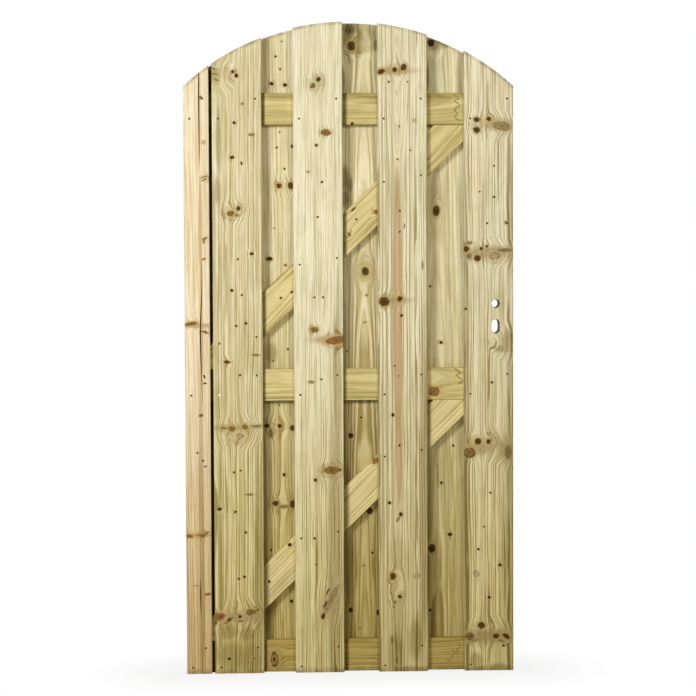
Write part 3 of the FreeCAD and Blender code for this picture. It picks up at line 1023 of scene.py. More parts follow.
@dataclass
class SplitStrip:
    """The half board at the hinge edge, whose face has split along the grain. Lengths in mm.

    course gives heights and how far across the crack runs there; it wavers a little on the way. closed
    is the width and depth of the line that is left where the crack is shut.
    """

    node: str
    wood: Softwood
    checks: tuple[Check, ...]
    course: tuple[Point, ...] = (
        (0.0, 42.0), (300.0, 42.0), (790.0, 50.0), (1020.0, 46.5), (1180.0, 51.0), (1450.0, 46.0),
        (2000.0, 46.0),
    )
    waver: float = 0.5
    waver_length: float = 57.0
    closed: Point = (1.0, 0.5)
    edge_round: float = 3.0
    edge_steps: int = 5
    station: float = 12.0

    def build(self) -> bpy.types.Object:
        """Make the strip with its cracks open and give it its wood.

        Returns:
            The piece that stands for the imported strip.
        """
        low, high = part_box(self.node)
        tall = high.z / MM
        count = math.ceil(tall / self.station)
        shape = bmesh.new()
        rows = []
        for index in range(count + 1):
            share = index / count
            loops = self._section((high.x - low.x) / MM, (high.y - low.y) / MM, share * tall)
            rows.append([self._lift(shape, low, loop, share) for loop in loops])
        self._skin(shape, rows)
        piece = new_piece(f"split_{self.node}", shape)
        give(piece, self.wood.coat(f"{self.node}_wood", Lie(tuple(low))))
        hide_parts(self.node)
        return piece

    def _section(self, width: float, thickness: float, height: float) -> tuple[list[Point], list[Point]]:
        """Draw the strip's section at a height.

        Args:
            width: the strip's width.
            thickness: its thickness.
            height: where the section lies.

        Returns:
            Front and back outline from left to right, with as many points each.
        """
        gap, depth = self._opening(height)
        middle = self._crack_line(height)
        lips = [(middle - gap / 2, 0.0), (middle - gap / 4, depth), (middle + gap / 4, depth),
                (middle + gap / 2, 0.0)]
        front = self._face_points(width)
        back = [(x, thickness - y) for x, y in front]
        cut = next(index for index, (x, _) in enumerate(front) if x > middle)
        front[cut:cut] = lips
        back[cut:cut] = [(x, thickness) for x, _ in lips]
        return front, back

    def _face_points(self, width: float) -> list[Point]:
        """Draw a face with its two rounded edges.

        Args:
            width: the strip's width.

        Returns:
            Points across and behind the face, from the left edge to the right one.
        """
        left = []
        for step in range(self.edge_steps + 1):
            angle = math.pi / 2 * step / self.edge_steps
            left.append((self.edge_round * (1 - math.cos(angle)), self.edge_round * (1 - math.sin(angle))))
        return left + [(width - x, y) for x, y in reversed(left)]

    def _crack_line(self, height: float) -> float:
        """Follow the crack's course.

        Args:
            height: a height on the strip.

        Returns:
            How far across the crack runs there.
        """
        for (low, start), (high, end) in zip(self.course, self.course[1:]):
            if height <= high:
                share = (height - low) / (high - low)
                eased = share * share * (3 - 2 * share)
                return start + (end - start) * eased + self.waver * math.sin(height / self.waver_length)
        return self.course[-1][1]

    def _opening(self, height: float) -> tuple[float, float]:
        """Find how far the crack stands open.

        Args:
            height: a height on the strip.

        Returns:
            The crack's width and depth there.
        """
        width, depth = self.closed
        for check in self.checks:
            if check.foot < height < check.top:
                end = check.foot if height < check.widest else check.top
                share = math.sqrt((height - end) / (check.widest - end))
                return max(width, check.width * share), max(depth, check.depth * share)
        return width, depth

    @staticmethod
    def _lift(shape: bmesh.types.BMesh, low: Vector, loop: list[Point],
              share: float) -> list[bmesh.types.BMVert]:
        """Place one row of points at its share of the height below the arch.

        Args:
            shape: the mesh that they join.
            low: the strip's lower left front corner.
            loop: the points across and behind the face.
            share: share of the height.

        Returns:
            The row's vertices.
        """
        verts = []
        for x, y in loop:
            place = Vector((low.x + x * MM, low.y + y * MM, 0.0))
            place.z = share * ARCH.height(place.x)
            verts.append(shape.verts.new(place))
        return verts

    @staticmethod
    def _skin(shape: bmesh.types.BMesh, rows: list[list[list[bmesh.types.BMVert]]]) -> None:
        """Close the rows of points to a solid.

        Args:
            shape: the mesh that the faces join.
            rows: front and back points of each row, from the foot up.
        """
        for (front, back), (front_up, back_up) in zip(rows, rows[1:]):
            for i in range(len(front) - 1):
                shape.faces.new((front[i], front[i + 1], front_up[i + 1], front_up[i]))
                shape.faces.new((back[i + 1], back[i], back_up[i], back_up[i + 1]))
            for i in (0, -1):
                shape.faces.new((front[i], front_up[i], back_up[i], back[i]))
        for front, back in (rows[0], rows[-1]):
            for i in range(len(front) - 1):
                shape.faces.new((front[i], back[i], back[i + 1], front[i + 1]))


@dataclass(frozen=True)
class Lamp:
    """A soft round lamp: place, size across in metres, and how bright it makes a white face."""

    name: str
    place: Triple
    size: float
    level: float
    colour: Colour = WHITE

    def build(self, target: Vector) -> bpy.types.Object:
        """Hang the lamp and turn it to the target.

        Args:
            target: the point that it shines at.

        Returns:
            The lamp.
        """
        light = bpy.data.lights.new(self.name, "AREA")
        light.shape = "DISK"
        light.size = self.size
        light.color = self.colour
        aim = target - Vector(self.place)
        light.energy = self.level * math.pi ** 2 * aim.length_squared
        lamp = bpy.data.objects.new(self.name, light)
        lamp.location = self.place
        lamp.rotation_euler = aim.to_track_quat("-Z", "Y").to_euler()
        bpy.context.scene.collection.objects.link(lamp)
        return lamp


@dataclass(frozen=True)
class Studio:
    """White floor and surroundings with soft lamps in front and behind. Metres."""

    lamps: tuple[Lamp, ...]
    ambient: Colour = (1.0, 0.84, 0.42)
    ambient_level: float = 0.03
    target: Triple = (0.0, 0.0, 1.0)
    floor_size: float = 30.0
    floor_tone: Colour = (0.55, 0.55, 0.54)
    shadow_share: float = 0.16
    shadow_reach: float = 0.35

    def build(self) -> None:
        """Make the floor, the surroundings and the lamps."""
        self._floor()
        self._surroundings()
        for lamp in self.lamps:
            lamp.build(Vector(self.target))

    @staticmethod
    def _seen(bench: ShaderBench) -> Signal:
        """Tell what is looked at from what only lights the leaf.

        Args:
            bench: where nodes are added.

        Returns:
            1 where the camera, a reflection or a clear piece looks at the surface, else 0.
        """
        seen = bench.node("ShaderNodeLightPath", None, None, "Is Camera Ray")
        outputs = seen.socket.node.outputs
        for ray in ("Is Glossy Ray", "Is Transmission Ray"):
            seen = seen.greater(Signal(bench, outputs[ray]))
        return seen

    def _floor(self) -> None:
        """Lay a white floor that keeps the leaf's shadow near its foot."""
        shape = bmesh.new()
        bmesh.ops.create_grid(shape, x_segments=1, y_segments=1, size=self.floor_size / 2)
        mesh = bpy.data.meshes.new("floor")
        shape.to_mesh(mesh)
        shape.free()
        floor = bpy.data.objects.new("floor", mesh)
        bpy.context.scene.collection.objects.link(floor)
        material, bench = new_bench("floor_white")
        spot = bench.node("ShaderNodeTexCoord", None, None, "Object")
        half = (CAD_BOX[1].x - CAD_BOX[0].x) / 2
        x, y, _ = spot.parts()
        beside = (x.math("ABSOLUTE", x) - half).greater(0.0)
        away = (beside * beside + y * y) ** 0.5
        shade = away.smooth(self.shadow_reach, 0.0) * self.shadow_share
        matt = bench.node("ShaderNodeBsdfDiffuse", None, {"Color": self.floor_tone})
        glow = bench.node("ShaderNodeEmission", None, {"Color": WHITE, "Strength": 1.0})
        share = self._seen(bench) * (1.0 - shade)
        shader = bench.node("ShaderNodeMixShader", None, {0: share, 1: matt, 2: glow})
        bench.finish("ShaderNodeOutputMaterial", shader)
        give(floor, material)

    def _surroundings(self) -> None:
        """Surround the leaf with white to look at and a modest warm light."""
        world = bpy.data.worlds.new("studio_white")
        world.use_nodes = True
        bpy.context.scene.world = world
        bench = ShaderBench(world.node_tree)
        soft = bench.node("ShaderNodeBackground", None,
                          {"Color": self.ambient, "Strength": self.ambient_level})
        white = bench.node("ShaderNodeBackground", None, {"Color": WHITE, "Strength": 1.0})
        shader = bench.node("ShaderNodeMixShader", None, {0: self._seen(bench), 1: soft, 2: white})
        bench.finish("ShaderNodeOutputWorld", shader)


@dataclass(frozen=True)
class PictureCamera:
    """Where the picture was taken from. Metres and radians; the focal length is in picture widths."""

    place: Triple = (-0.2653, -6.032, 1.209)
    yaw: float = 0.0434
    pitch: float = -0.0414
    roll: float = -0.0040
    focal_length: float = 2.9363
    sensor: float = 36.0

    def build(self) -> bpy.types.Object:
        """Set up the camera and make it the scene's own.

        Returns:
            The camera.
        """
        lens = bpy.data.cameras.new("picture_camera")
        lens.sensor_width = self.sensor
        lens.lens = self.focal_length * self.sensor
        camera = bpy.data.objects.new("picture_camera", lens)
        level = math.cos(self.pitch)
        ahead = Vector((math.sin(self.yaw) * level, math.cos(self.yaw) * level, math.sin(self.pitch)))
        right = Vector((math.cos(self.yaw), -math.sin(self.yaw), 0.0))
        axes = Matrix((right, right.cross(ahead), -ahead)).transposed()
        axes = axes @ Matrix.Rotation(self.roll, 3, "Z")
        camera.matrix_world = Matrix.Translation(self.place) @ axes.to_4x4()
        bpy.context.scene.collection.objects.link(camera)
        bpy.context.scene.camera = camera
        return camera


# Marks that several pieces share, in mm; the lines under the rails and over the braces are painted shade
LOCK_HOLE = 27
RAIL_MIDDLE = 47
RAIL_REACH = 240
BRACE_MIDDLE = 45
BRACE_REACH = 300
BRACE_UPRIGHT = -0.794
UNDER_RAIL_SHADE = Knot(96, 490, 3, 1600)
OVER_BRACE_SHADE = Knot(0, 500, 3, 4000)


def lock_holes(across: float, *heights: float) -> tuple[Knot, ...]:
    """Paint shade on the walls of the lock holes, which lie one above the other."""
    return tuple(Knot(across, height, LOCK_HOLE, LOCK_HOLE) for height in heights)


def rail_bands(*bands: tuple[float, float]) -> tuple[Knot, ...]:
    """Paint shade on a rail from edge to edge in bands, each given by its place along and its width."""
    return tuple(Knot(RAIL_MIDDLE, along, RAIL_REACH, width) for along, width in bands)


def brace_shade(*bands: tuple[float, float]) -> tuple[Knot, ...]:
    """Paint shade on a brace's upper edge and in upright bands, each given by place along and width."""
    upright = (Knot(BRACE_MIDDLE, along, width, BRACE_REACH, BRACE_UPRIGHT) for along, width in bands)
    return (OVER_BRACE_SHADE, *upright)


# Half board at the hinge edge
STRIP_WOOD = Softwood(
    seed=1.0, pale=(0.84, 0.735, 0.525), streak=(0.81, 0.68, 0.465), green=(0.78, 0.70, 0.42),
    line=(0.55, 0.37, 0.17), foot=(0.80, 0.69, 0.50), fade=(0.97, 0.13), ring=6.0, pith=(-35.0, 50.0),
    contrast=0.4,
    knots={
        KnotKind.SHADE: (Knot(46, 420, 10, 700),),
        KnotKind.HEART: (Knot(48, 1310, 8, 330), Knot(49, 1080, 9, 420), Knot(46, 1640, 7, 330)),
        # Painted shade inside the crack
        KnotKind.BORE: (Knot(47, 1100, 30, 2600, 0.0, 7.0, 9.0),),
        KnotKind.SMEAR: (Knot(36, 411, 80, 10), Knot(34, 1028, 78, 12)),
        KnotKind.PALE: (Knot(58, 1564, 13, 13), Knot(28, 262, 20, 6)),
        KnotKind.RED: (
            Knot(52, 1694, 9, 9), Knot(60, 1463, 22, 4, -0.3), Knot(60, 1455, 18, 4, -0.5),
            Knot(60, 1283, 15, 6, -0.5), Knot(58, 1275, 6, 12), Knot(58, 1223, 12, 7, -0.4),
            Knot(20, 1034, 38, 13, -0.15), Knot(60, 1009, 23, 8, 0.3), Knot(46, 764, 12, 8),
            Knot(10, 409, 20, 12), Knot(48, 410, 16, 13, -0.4), Knot(60, 418, 18, 6, -0.5),
            Knot(36, 411, 14, 4), Knot(62, 236, 22, 7, -0.2),
        ),
        KnotKind.BLACK: (
            Knot(57, 877, 5, 8), Knot(58, 859, 8, 5), Knot(35, 654, 6, 6), Knot(51, 631, 6, 6),
            Knot(57, 614, 8, 5),
        ),
    },
)

# Front boards, from the hinge edge to the lock edge
FRONT_WOODS = {
    "front_board_1": Softwood(
        seed=2.0, pale=(0.735, 0.655, 0.43), streak=(0.715, 0.615, 0.37), foot=(0.93, 0.875, 0.615),
        fade=(1.22, 0.0), pith=(-14.0, 46.0), lean=(0.008, 0.004), greenness=0.6, contrast=1.0,
        foot_contrast=1.2,
        swirls=(
            Swirl(75, 715, 80, 60, 4), Swirl(76, 702, 28, 38, 4), Swirl(72, 170, 85, 65, 5),
            Swirl(62, 1362, 55, 50, 3), Swirl(-4, 1757, 85, 70, 0, -0.6),
            Swirl(150, 170, 55, 60, 0, -0.5),
        ),
        knots={
            KnotKind.SHADE: (
                Knot(130, 330, 18, 420), Knot(17, 330, 10, 420), Knot(14, 1425, 12, 60),
                Knot(20, 1560, 10, 130), Knot(3, 1280, 9, 260), Knot(38, 124, 44, 34),
                Knot(98, 115, 36, 30), Knot(48, 50, 60, 64), Knot(112, 50, 40, 70),
            ),
            KnotKind.SMEAR: (
                Knot(20, 727, 40, 14), Knot(72, 727, 90, 12), Knot(128, 731, 40, 12),
                Knot(70, 166, 130, 26), Knot(6, 1757, 30, 36),
            ),
            KnotKind.PALE: (Knot(76, 702, 23, 17),),
            KnotKind.OLIVE: (
                Knot(8, 1777, 22, 5, 0.3), Knot(9, 1763, 24, 5, 0.1), Knot(13, 1746, 18, 5, 0.5),
                Knot(90, 1676, 9, 9), Knot(116, 1586, 18, 8), Knot(72, 1351, 15, 9),
                Knot(125, 941, 23, 8), Knot(30, 727, 23, 8), Knot(124, 732, 35, 7),
                Knot(104, 530, 26, 7), Knot(76, 155, 18, 6), Knot(46, 165, 20, 9), Knot(114, 44, 9, 9),
                Knot(38, 156, 32, 11, -0.6),
            ),
            KnotKind.RED: (Knot(12, 169, 36, 25),),
            KnotKind.BROWN: (
                Knot(41, 921, 20, 10), Knot(77, 1371, 13, 13), Knot(42, 160, 13, 9, -0.6),
                Knot(2, 150, 7, 15),
            ),
            KnotKind.AMBER: (
                Knot(108, 182, 34, 18), Knot(53, 1356, 19, 17), Knot(54, 725, 22, 15),
                Knot(92, 729, 20, 13),
            ),
            KnotKind.BLACK: (
                Knot(62, 1769, 10, 10), Knot(73, 1758, 12, 12), Knot(65, 1621, 10, 10),
                Knot(59, 1520, 13, 9), Knot(86, 1503, 7, 9), Knot(74, 1223, 6, 6),
                Knot(114, 1238, 12, 9), Knot(56, 1131, 9, 9), Knot(85, 1118, 6, 6),
                Knot(68, 1027, 7, 7), Knot(96, 1034, 9, 9), Knot(78, 882, 7, 7), Knot(59, 597, 6, 6),
                Knot(78, 600, 6, 6), Knot(16, 488, 15, 10), Knot(62, 479, 8, 8), Knot(92, 418, 8, 8),
                Knot(71, 281, 8, 8), Knot(88, 287, 9, 9), Knot(74, 169, 10, 10), Knot(42, 44, 9, 9),
            ),
        },
    ),
    "front_board_2": Softwood(
        seed=3.0, pale=(0.89, 0.84, 0.62), streak=(0.86, 0.79, 0.57), pith=(-70.0, 60.0),
        lean=(0.004, 0.004), greenness=0.35, ring=8.0, contrast=0.4, foot_contrast=1.1,
        fade=(1.22, 0.0),
        swirls=(
            Swirl(66, 1737, 42, 48, 2), Swirl(122, 983, 58, 48, 2), Swirl(110, 600, 58, 48, 2),
            Swirl(107, 215, 55, 95, 3),
        ),
        knots={
            KnotKind.SHADE: (Knot(116, 330, 30, 640), Knot(128, 820, 16, 400)),
            KnotKind.SMEAR: (Knot(100, 985, 80, 18), Knot(107, 215, 42, 130, 0.42)),
            KnotKind.OLIVE: (Knot(44, 1477, 9, 6), Knot(51, 861, 18, 10)),
            KnotKind.BROWN: (
                Knot(75, 1747, 12, 15, 0.6), Knot(96, 240, 5, 24, 0.5), Knot(89, 203, 6, 22, 0.5),
                Knot(83, 168, 11, 18, 0.3),
            ),
            KnotKind.AMBER: (
                Knot(110, 600, 56, 23, -0.1), Knot(59, 1728, 16, 15, -0.5), Knot(96, 1592, 30, 17),
                Knot(60, 1015, 24, 17),
            ),
            KnotKind.RED: (Knot(122, 983, 58, 24, -0.1),),
            KnotKind.BRANCH: (Knot(107, 218, 20, 100, 0.42),),
            KnotKind.BLACK: (
                Knot(69, 1555, 9, 9), Knot(84, 1447, 7, 7), Knot(72, 1345, 6, 6), Knot(60, 1110, 8, 5),
                Knot(86, 1110, 6, 6), Knot(80, 868, 6, 6), Knot(61, 572, 10, 10), Knot(58, 399, 7, 7),
                Knot(62, 321, 6, 6),
            ),
        },
    ),
    "front_board_3": Softwood(
        seed=4.0, pale=(0.92, 0.87, 0.65), streak=(0.88, 0.81, 0.58), foot=(0.82, 0.755, 0.53),
        pith=(57.0, 20.0), lean=(0.0, -0.06), lean_from=1490.0, contrast=1.0, foot_contrast=0.4,
        greenness=0.3,
        swirls=(Swirl(45, 1772, 60, 45, 3), Swirl(35, 1098, 55, 45, 2), Swirl(48, 250, 42, 80, 3)),
        knots={
            KnotKind.SHADE: (
                Knot(132, 560, 16, 700), Knot(50, 50, 30, 90), Knot(108, 95, 30, 80),
                Knot(95, 6, 60, 14),
            ),
            KnotKind.HEART: (Knot(57, 1060, 27, 900), Knot(60, 640, 16, 300)),
            KnotKind.VEIN: (
                Knot(13, 1000, 4, 2400), Knot(25, 900, 5, 2100), Knot(42, 1000, 5, 2000),
                Knot(69, 900, 4, 1300), Knot(94, 1100, 4, 1900),
            ),
            KnotKind.SMEAR: (Knot(45, 1772, 100, 16), Knot(40, 1100, 90, 16)),
            KnotKind.PALE: (Knot(109, 1627, 12, 12), Knot(111, 285, 23, 15)),
            KnotKind.OLIVE: (
                Knot(78, 1318, 4, 15), Knot(131, 1203, 6, 26), Knot(61, 877, 6, 6),
                Knot(47, 207, 9, 12), Knot(44, 192, 6, 9), Knot(52, 34, 9, 26), Knot(38, 94, 9, 26),
                Knot(57, 453, 8, 18, 0.5),
            ),
            KnotKind.BROWN: (
                Knot(11, 1770, 24, 14, -0.5), Knot(50, 1775, 13, 15), Knot(77, 1782, 16, 21, 0.6),
                Knot(18, 1096, 29, 29), Knot(64, 1104, 16, 16), Knot(41, 283, 17, 20),
            ),
            KnotKind.BLACK: (
                Knot(34, 1739, 6, 6), Knot(88, 1740, 5, 5), Knot(64, 1609, 5, 6), Knot(58, 1514, 6, 6),
                Knot(96, 1540, 5, 5), Knot(65, 1362, 7, 7), Knot(64, 1301, 6, 6), Knot(68, 1055, 9, 9),
                Knot(48, 907, 5, 6), Knot(42, 762, 9, 12), Knot(62, 671, 7, 7), Knot(31, 502, 10, 10),
                Knot(65, 468, 12, 12), Knot(62, 223, 12, 12),
            ),
        },
    ),
    "front_board_4": Softwood(
        seed=5.0, pale=(0.92, 0.86, 0.635), streak=(0.87, 0.785, 0.555), pith=(-25.0, 42.0),
        lean=(0.004, 0.01), contrast=1.15, foot_contrast=1.3, ring=7.0,
        swirls=(
            Swirl(75, 1615, 80, 55, 3), Swirl(70, 1238, 80, 55, 4), Swirl(60, 670, 80, 60, 4),
            Swirl(70, 112, 80, 60, 4), Swirl(89, 1229, 32, 40, 3), Swirl(156, 975, 90, 70, 0, -0.6),
            Swirl(156, 650, 80, 60, 0, -0.5), Swirl(156, 1236, 60, 50, 0, -0.5),
        ),
        knots={
            KnotKind.SHADE: (
                Knot(140, 420, 30, 800), Knot(136, 300, 34, 500), Knot(72, 104, 90, 22),
                Knot(6, 700, 14, 1100), Knot(132, 980, 26, 50), Knot(136, 1380, 14, 300),
                Knot(120, 955, 44, 16), Knot(14, 100, 26, 28), Knot(32, 32, 26, 30),
                Knot(110, 8, 60, 18), Knot(40, 6, 30, 14), Knot(146, 330, 8, 560),
            ),
            KnotKind.SMEAR: (
                Knot(105, 1614, 80, 26), Knot(72, 1240, 120, 26), Knot(40, 660, 70, 30),
                Knot(125, 660, 50, 60), Knot(72, 98, 150, 34),
            ),
            KnotKind.PALE: (Knot(89, 1229, 32, 20), Knot(70, 705, 15, 12), Knot(35, 289, 19, 19)),
            KnotKind.BORE: lock_holes(93, 1089, 1030, 1022, 1014),
            KnotKind.OLIVE: (
                Knot(125, 1327, 13, 12), Knot(14, 1228, 18, 18), Knot(121, 1246, 46, 11),
                Knot(130, 650, 23, 46), Knot(15, 1268, 20, 10), Knot(28, 90, 26, 9, -0.3),
                Knot(108, 88, 26, 7, 0.4),
            ),
            KnotKind.BRANCH: (Knot(113, 1610, 60, 26, 0.2),),
            KnotKind.AMBER: (Knot(15, 648, 32, 29), Knot(15, 102, 29, 23)),
            KnotKind.BROWN: (
                Knot(37, 1629, 18, 15), Knot(73, 1631, 13, 12), Knot(37, 1599, 20, 17),
                Knot(50, 1251, 10, 10), Knot(66, 1257, 9, 9), Knot(39, 1223, 19, 19),
                Knot(6, 1250, 18, 18), Knot(40, 682, 20, 20), Knot(71, 681, 13, 16),
                Knot(49, 134, 20, 20), Knot(93, 102, 19, 17), Knot(124, 101, 27, 14, 0.5),
            ),
            KnotKind.BLACK: (
                Knot(89, 1494, 6, 6), Knot(46, 1418, 5, 5), Knot(88, 1402, 9, 6), Knot(5, 1073, 7, 9),
                Knot(82, 856, 7, 7), Knot(77, 529, 6, 6), Knot(59, 428, 6, 6), Knot(41, 361, 7, 7),
                Knot(105, 314, 10, 9), Knot(73, 218, 9, 9), Knot(116, 74, 7, 7),
            ),
        },
    ),
}

# Back boards, which lie deeper; the darker tones given to most of them are painted shade
SHADED = Softwood(
    seed=0.0, pale=(0.70, 0.64, 0.41), streak=(0.71, 0.63, 0.39), foot=(0.79, 0.715, 0.44),
    fade=(1.5, 0.1),
)

BACK_WOODS = {
    # Painted shade behind the slot beside the strip
    "back_board_1": Softwood(seed=6.0, knots={KnotKind.BORE: (Knot(78, 900, 24, 3000, 0.0, 8.0),)}),
    "back_board_2": replace(
        SHADED, seed=7.0, pith=(-30.0, 45.0), contrast=0.35, foot_contrast=1.1,
        swirls=(Swirl(75, 725, 60, 50, 1), Swirl(88, 497, 60, 50, 2), Swirl(95, 1438, 50, 45, 1)),
        knots={
            KnotKind.SHADE: (Knot(50, 945, 26, 40), Knot(50, 190, 26, 44)),
            KnotKind.DUSK: (Knot(23, 480, 19, 800), Knot(33, 180, 20, 120), Knot(50, 706, 12, 20)),
            KnotKind.OLIVE: (
                Knot(88, 1862, 6, 6), Knot(81, 1596, 6, 6), Knot(63, 1313, 6, 6), Knot(88, 488, 40, 12),
            ),
            KnotKind.RED: (Knot(95, 1204, 9, 9),),
            KnotKind.BROWN: (
                Knot(77, 1439, 15, 15), Knot(112, 1439, 17, 20), Knot(114, 722, 17, 17),
                Knot(62, 498, 20, 17), Knot(113, 496, 17, 26),
            ),
            KnotKind.BLACK: (
                Knot(69, 1818, 7, 7), Knot(83, 1781, 7, 7), Knot(57, 1738, 13, 10),
                Knot(96, 1735, 13, 11), Knot(71, 1551, 7, 7), Knot(118, 1555, 10, 11),
                Knot(94, 1489, 6, 6), Knot(48, 1223, 20, 13), Knot(101, 956, 6, 6), Knot(58, 921, 6, 6),
                Knot(75, 790, 6, 6), Knot(75, 728, 12, 14), Knot(37, 729, 17, 14),
                Knot(88, 583, 10, 11), Knot(48, 359, 6, 9), Knot(108, 205, 11, 11),
            ),
        },
    ),
    "back_board_3": replace(
        SHADED, seed=8.0, pith=(86.0, 14.0), lean=(0.0, 0.022), contrast=1.15, foot_contrast=1.2,
        foot=(0.71, 0.635, 0.375),
        swirls=(Swirl(60, 1848, 60, 70, 1), Swirl(89, 1185, 45, 70, 2)),
        knots={
            KnotKind.SHADE: (Knot(72, 1880, 90, 44), Knot(78, 1845, 50, 30), Knot(38, 320, 18, 170)),
            KnotKind.DUSK: (
                Knot(24, 1458, 28, 56), Knot(26, 1402, 28, 40), Knot(22, 1745, 14, 60),
                Knot(18, 620, 19, 1000), Knot(46, 1898, 26, 20), Knot(121, 1850, 9, 24),
                Knot(28, 565, 20, 80), Knot(42, 1440, 14, 36),
            ),
            KnotKind.OLIVE: (
                Knot(92, 1114, 7, 9), Knot(87, 1034, 9, 6), Knot(80, 310, 9, 6), Knot(69, 122, 9, 6),
            ),
            KnotKind.BROWN: (Knot(51, 1849, 23, 29), Knot(89, 1185, 21, 26)),
            KnotKind.BLACK: (
                Knot(34, 949, 6, 6), Knot(75, 752, 9, 7), Knot(44, 698, 17, 17), Knot(99, 473, 20, 23),
                Knot(108, 348, 9, 9), Knot(42, 177, 15, 17), Knot(123, 169, 9, 20),
            ),
        },
    ),
    "back_board_4": replace(
        SHADED, seed=9.0, pith=(50.0, 30.0), lean=(0.0, 0.016), contrast=0.3, foot_contrast=0.7,
        pale=(0.755, 0.715, 0.48), streak=(0.765, 0.69, 0.44), foot=(0.75, 0.68, 0.43),
        swirls=(Swirl(49, 1363, 26, 70, 1), Swirl(40, 1858, 50, 60, 3)),
        knots={
            KnotKind.OLIVE: (Knot(52, 578, 4, 88),),
            KnotKind.BROWN: (Knot(49, 1363, 22, 31),),
            KnotKind.SHADE: (Knot(56, 1856, 40, 26), Knot(28, 300, 14, 400), Knot(117, 1740, 12, 130)),
            KnotKind.DUSK: (Knot(20, 1752, 14, 60), Knot(12, 560, 19, 900), Knot(25, 724, 14, 70)),
            KnotKind.VEIN: (Knot(52, 470, 4, 620),),
            KnotKind.BLACK: (
                Knot(34, 1858, 23, 23), Knot(30, 1140, 7, 7), Knot(62, 973, 11, 9), Knot(98, 666, 7, 9),
                Knot(63, 555, 9, 9), Knot(88, 400, 15, 11), Knot(33, 359, 23, 29), Knot(28, 174, 9, 11),
            ),
        },
    ),
    "back_strip": Softwood(
        seed=10.0, pith=(40.0, 50.0),
        knots={KnotKind.BORE: lock_holes(22, 1089, 1030, 1014)},
    ),
}

# Rails, braces and stile, which are yellower; marks run down from the upper edge and along
YELLOW = Softwood(
    seed=0.0, pale=(0.65, 0.555, 0.25), streak=(0.61, 0.51, 0.22), green=(0.52, 0.47, 0.17),
    line=(0.34, 0.26, 0.07), bright=(0.78, 0.69, 0.36),
)

RAIL_WOODS = {
    "bottom_rail": replace(
        YELLOW, seed=11.0, pith=(-25.0, 40.0), lean=(0.0, 0.04), lean_from=690.0, contrast=0.7,
        foot=(0.80, 0.71, 0.48),
        swirls=(Swirl(58, 257, 56, 50, 4),),
        knots={
            KnotKind.OLIVE: (
                Knot(20, 808, 3, 26, 0.6), Knot(32, 804, 3, 24, -0.9), Knot(43, 796, 3, 28, 0.5),
                Knot(55, 786, 3, 26, -1.0), Knot(66, 776, 3, 24, 0.5), Knot(60, 560, 3, 60, 0.2),
            ),
            KnotKind.DUSK: rail_bands((230, 8), (469, 14)),
            KnotKind.AMBER: (Knot(58, 258, 44, 25),),
            KnotKind.BORE: rail_bands((78, 18)),
            KnotKind.BROWN: (Knot(58, 257, 16, 9),),
        },
    ),
    "middle_rail": replace(
        YELLOW, seed=12.0, pith=(30.0, 70.0), lean=(0.0, 0.04), lean_from=700.0, contrast=0.4,
        foot=WHITE, pale=(0.70, 0.60, 0.285), streak=(0.66, 0.555, 0.25),
        knots={
            KnotKind.OLIVE: (
                Knot(8, 803, 4, 24, 0.6), Knot(19, 806, 4, 22, -0.6), Knot(30, 809, 4, 18, 0.7),
                Knot(44, 812, 6, 14, -0.5),
            ),
            KnotKind.DUSK: (*rail_bands((230, 6), (467, 7)), UNDER_RAIL_SHADE),
            KnotKind.RED: (Knot(70, 734, 29, 32),),
            KnotKind.BORE: rail_bands((78, 18)),
        },
    ),
    "top_rail": replace(
        YELLOW, seed=13.0, pith=(20.0, 60.0), lean=(0.0, 0.04), lean_from=705.0, contrast=0.4,
        pale=(0.60, 0.51, 0.225), streak=(0.565, 0.47, 0.20),
        knots={
            KnotKind.SHADE: (Knot(4, 490, 18, 1600), Knot(95, 490, 8, 1600)),
            KnotKind.DUSK: (*rail_bands((231, 10), (470, 14)), UNDER_RAIL_SHADE),
            KnotKind.OLIVE: (
                Knot(10, 801, 3, 24, 0.43), Knot(20, 803, 3, 20, -0.53), Knot(31, 805, 3, 24, 0.58),
                Knot(44, 803, 3, 26, -0.48), Knot(55, 799, 3, 17, 0.62), Knot(66, 800, 3, 16, -0.83),
                Knot(78, 805, 3, 24, 0.58),
            ),
            KnotKind.BLACK: (Knot(90, 494, 9, 9),),
            KnotKind.BORE: rail_bands((78, 18)),
        },
    ),
}

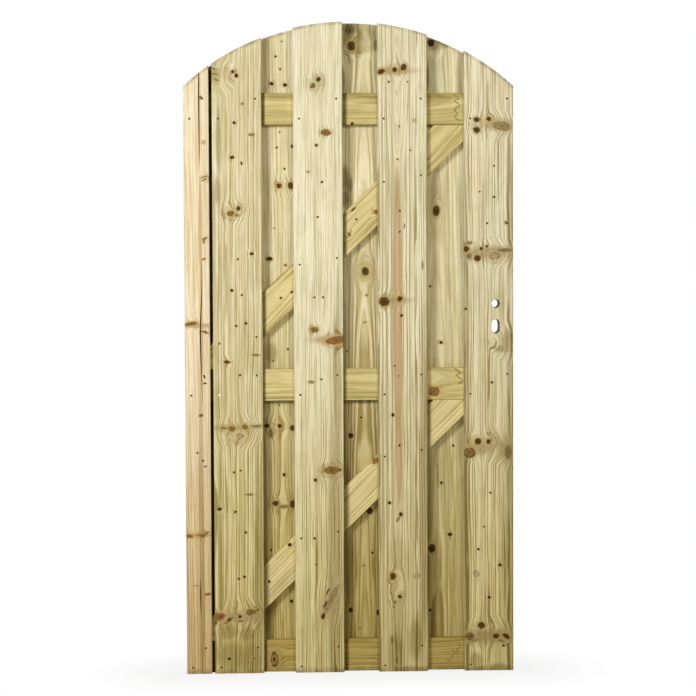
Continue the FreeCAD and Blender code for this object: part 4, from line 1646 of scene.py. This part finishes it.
BRACE_WOODS = {
    "lower_brace": replace(
        YELLOW, seed=14.0, pith=(-25.0, 40.0), contrast=0.7, foot_contrast=0.2, foot=(1.0, 0.99, 0.97),
        pale=(0.83, 0.715, 0.375), streak=(0.80, 0.675, 0.34), line=(0.48, 0.38, 0.14),
        knots={
            KnotKind.DUSK: brace_shade((279, 18), (612, 19), (955, 13)),
            KnotKind.VEIN: (Knot(66, 330, 3, 300), Knot(80, 300, 3, 260), Knot(88, 360, 3, 200)),
            KnotKind.RED: (Knot(14, 771, 17, 23),),
            KnotKind.BLACK: (Knot(11, 416, 11, 11), Knot(46, 295, 9, 9)),
        },
    ),
    "upper_brace": replace(
        YELLOW, seed=15.0, pith=(40.0, 50.0), contrast=0.9, pale=(0.71, 0.60, 0.295),
        streak=(0.68, 0.565, 0.265),
        knots={
            KnotKind.DUSK: brace_shade((277, 14), (610, 15), (954, 5)),
            KnotKind.RED: (Knot(67, 725, 15, 15),),
            KnotKind.BROWN: (Knot(15, 683, 6, 17), Knot(58, 622, 12, 6)),
            KnotKind.BLACK: (Knot(41, 669, 6, 6), Knot(49, 348, 7, 7), Knot(59, 382, 7, 7)),
        },
    ),
}

STILE_WOOD = replace(YELLOW, seed=16.0, knots={KnotKind.BORE: lock_holes(43, 189, 130, 114)})

STRIP_CHECKS = (
    Check(1520, 1690, 1990, 3.2, 12.0),
    Check(800, 1010, 1235, 3.6, 14.0),
    Check(175, 240, 290, 3.6, 13.0),
)

LAMPS = (
    Lamp("key_lamp", (-1.75, -2.6, 1.8), 0.9, 0.67),
    Lamp("fill_lamp", (1.1, -3.4, 2.4), 0.8, 0.32, (1.0, 0.93, 0.78)),
    Lamp("rear_lamp", (2.3, 3.4, 3.0), 1.2, 0.55),
    Lamp("rear_fill_lamp", (-2.6, 3.0, 2.6), 1.2, 0.3),
)


def main() -> None:
    """Dress the leaf, set up the studio and the camera, and report each piece."""
    logging.basicConfig(level=logging.INFO, format="%(name)s: %(message)s")
    bpy.context.scene.view_settings.view_transform = "Standard"
    FacingBoards({**FRONT_WOODS, **BACK_WOODS}).dress()
    strip = SplitStrip("front_strip", STRIP_WOOD, STRIP_CHECKS).build()
    LOG.info("strip %s made", strip.name)
    Framing(RAIL_WOODS, BRACE_WOODS, STILE_WOOD).dress()
    NailRows().build_all()
    Studio(LAMPS).build()
    PictureCamera().build()


if __name__ == "__main__":
    main()
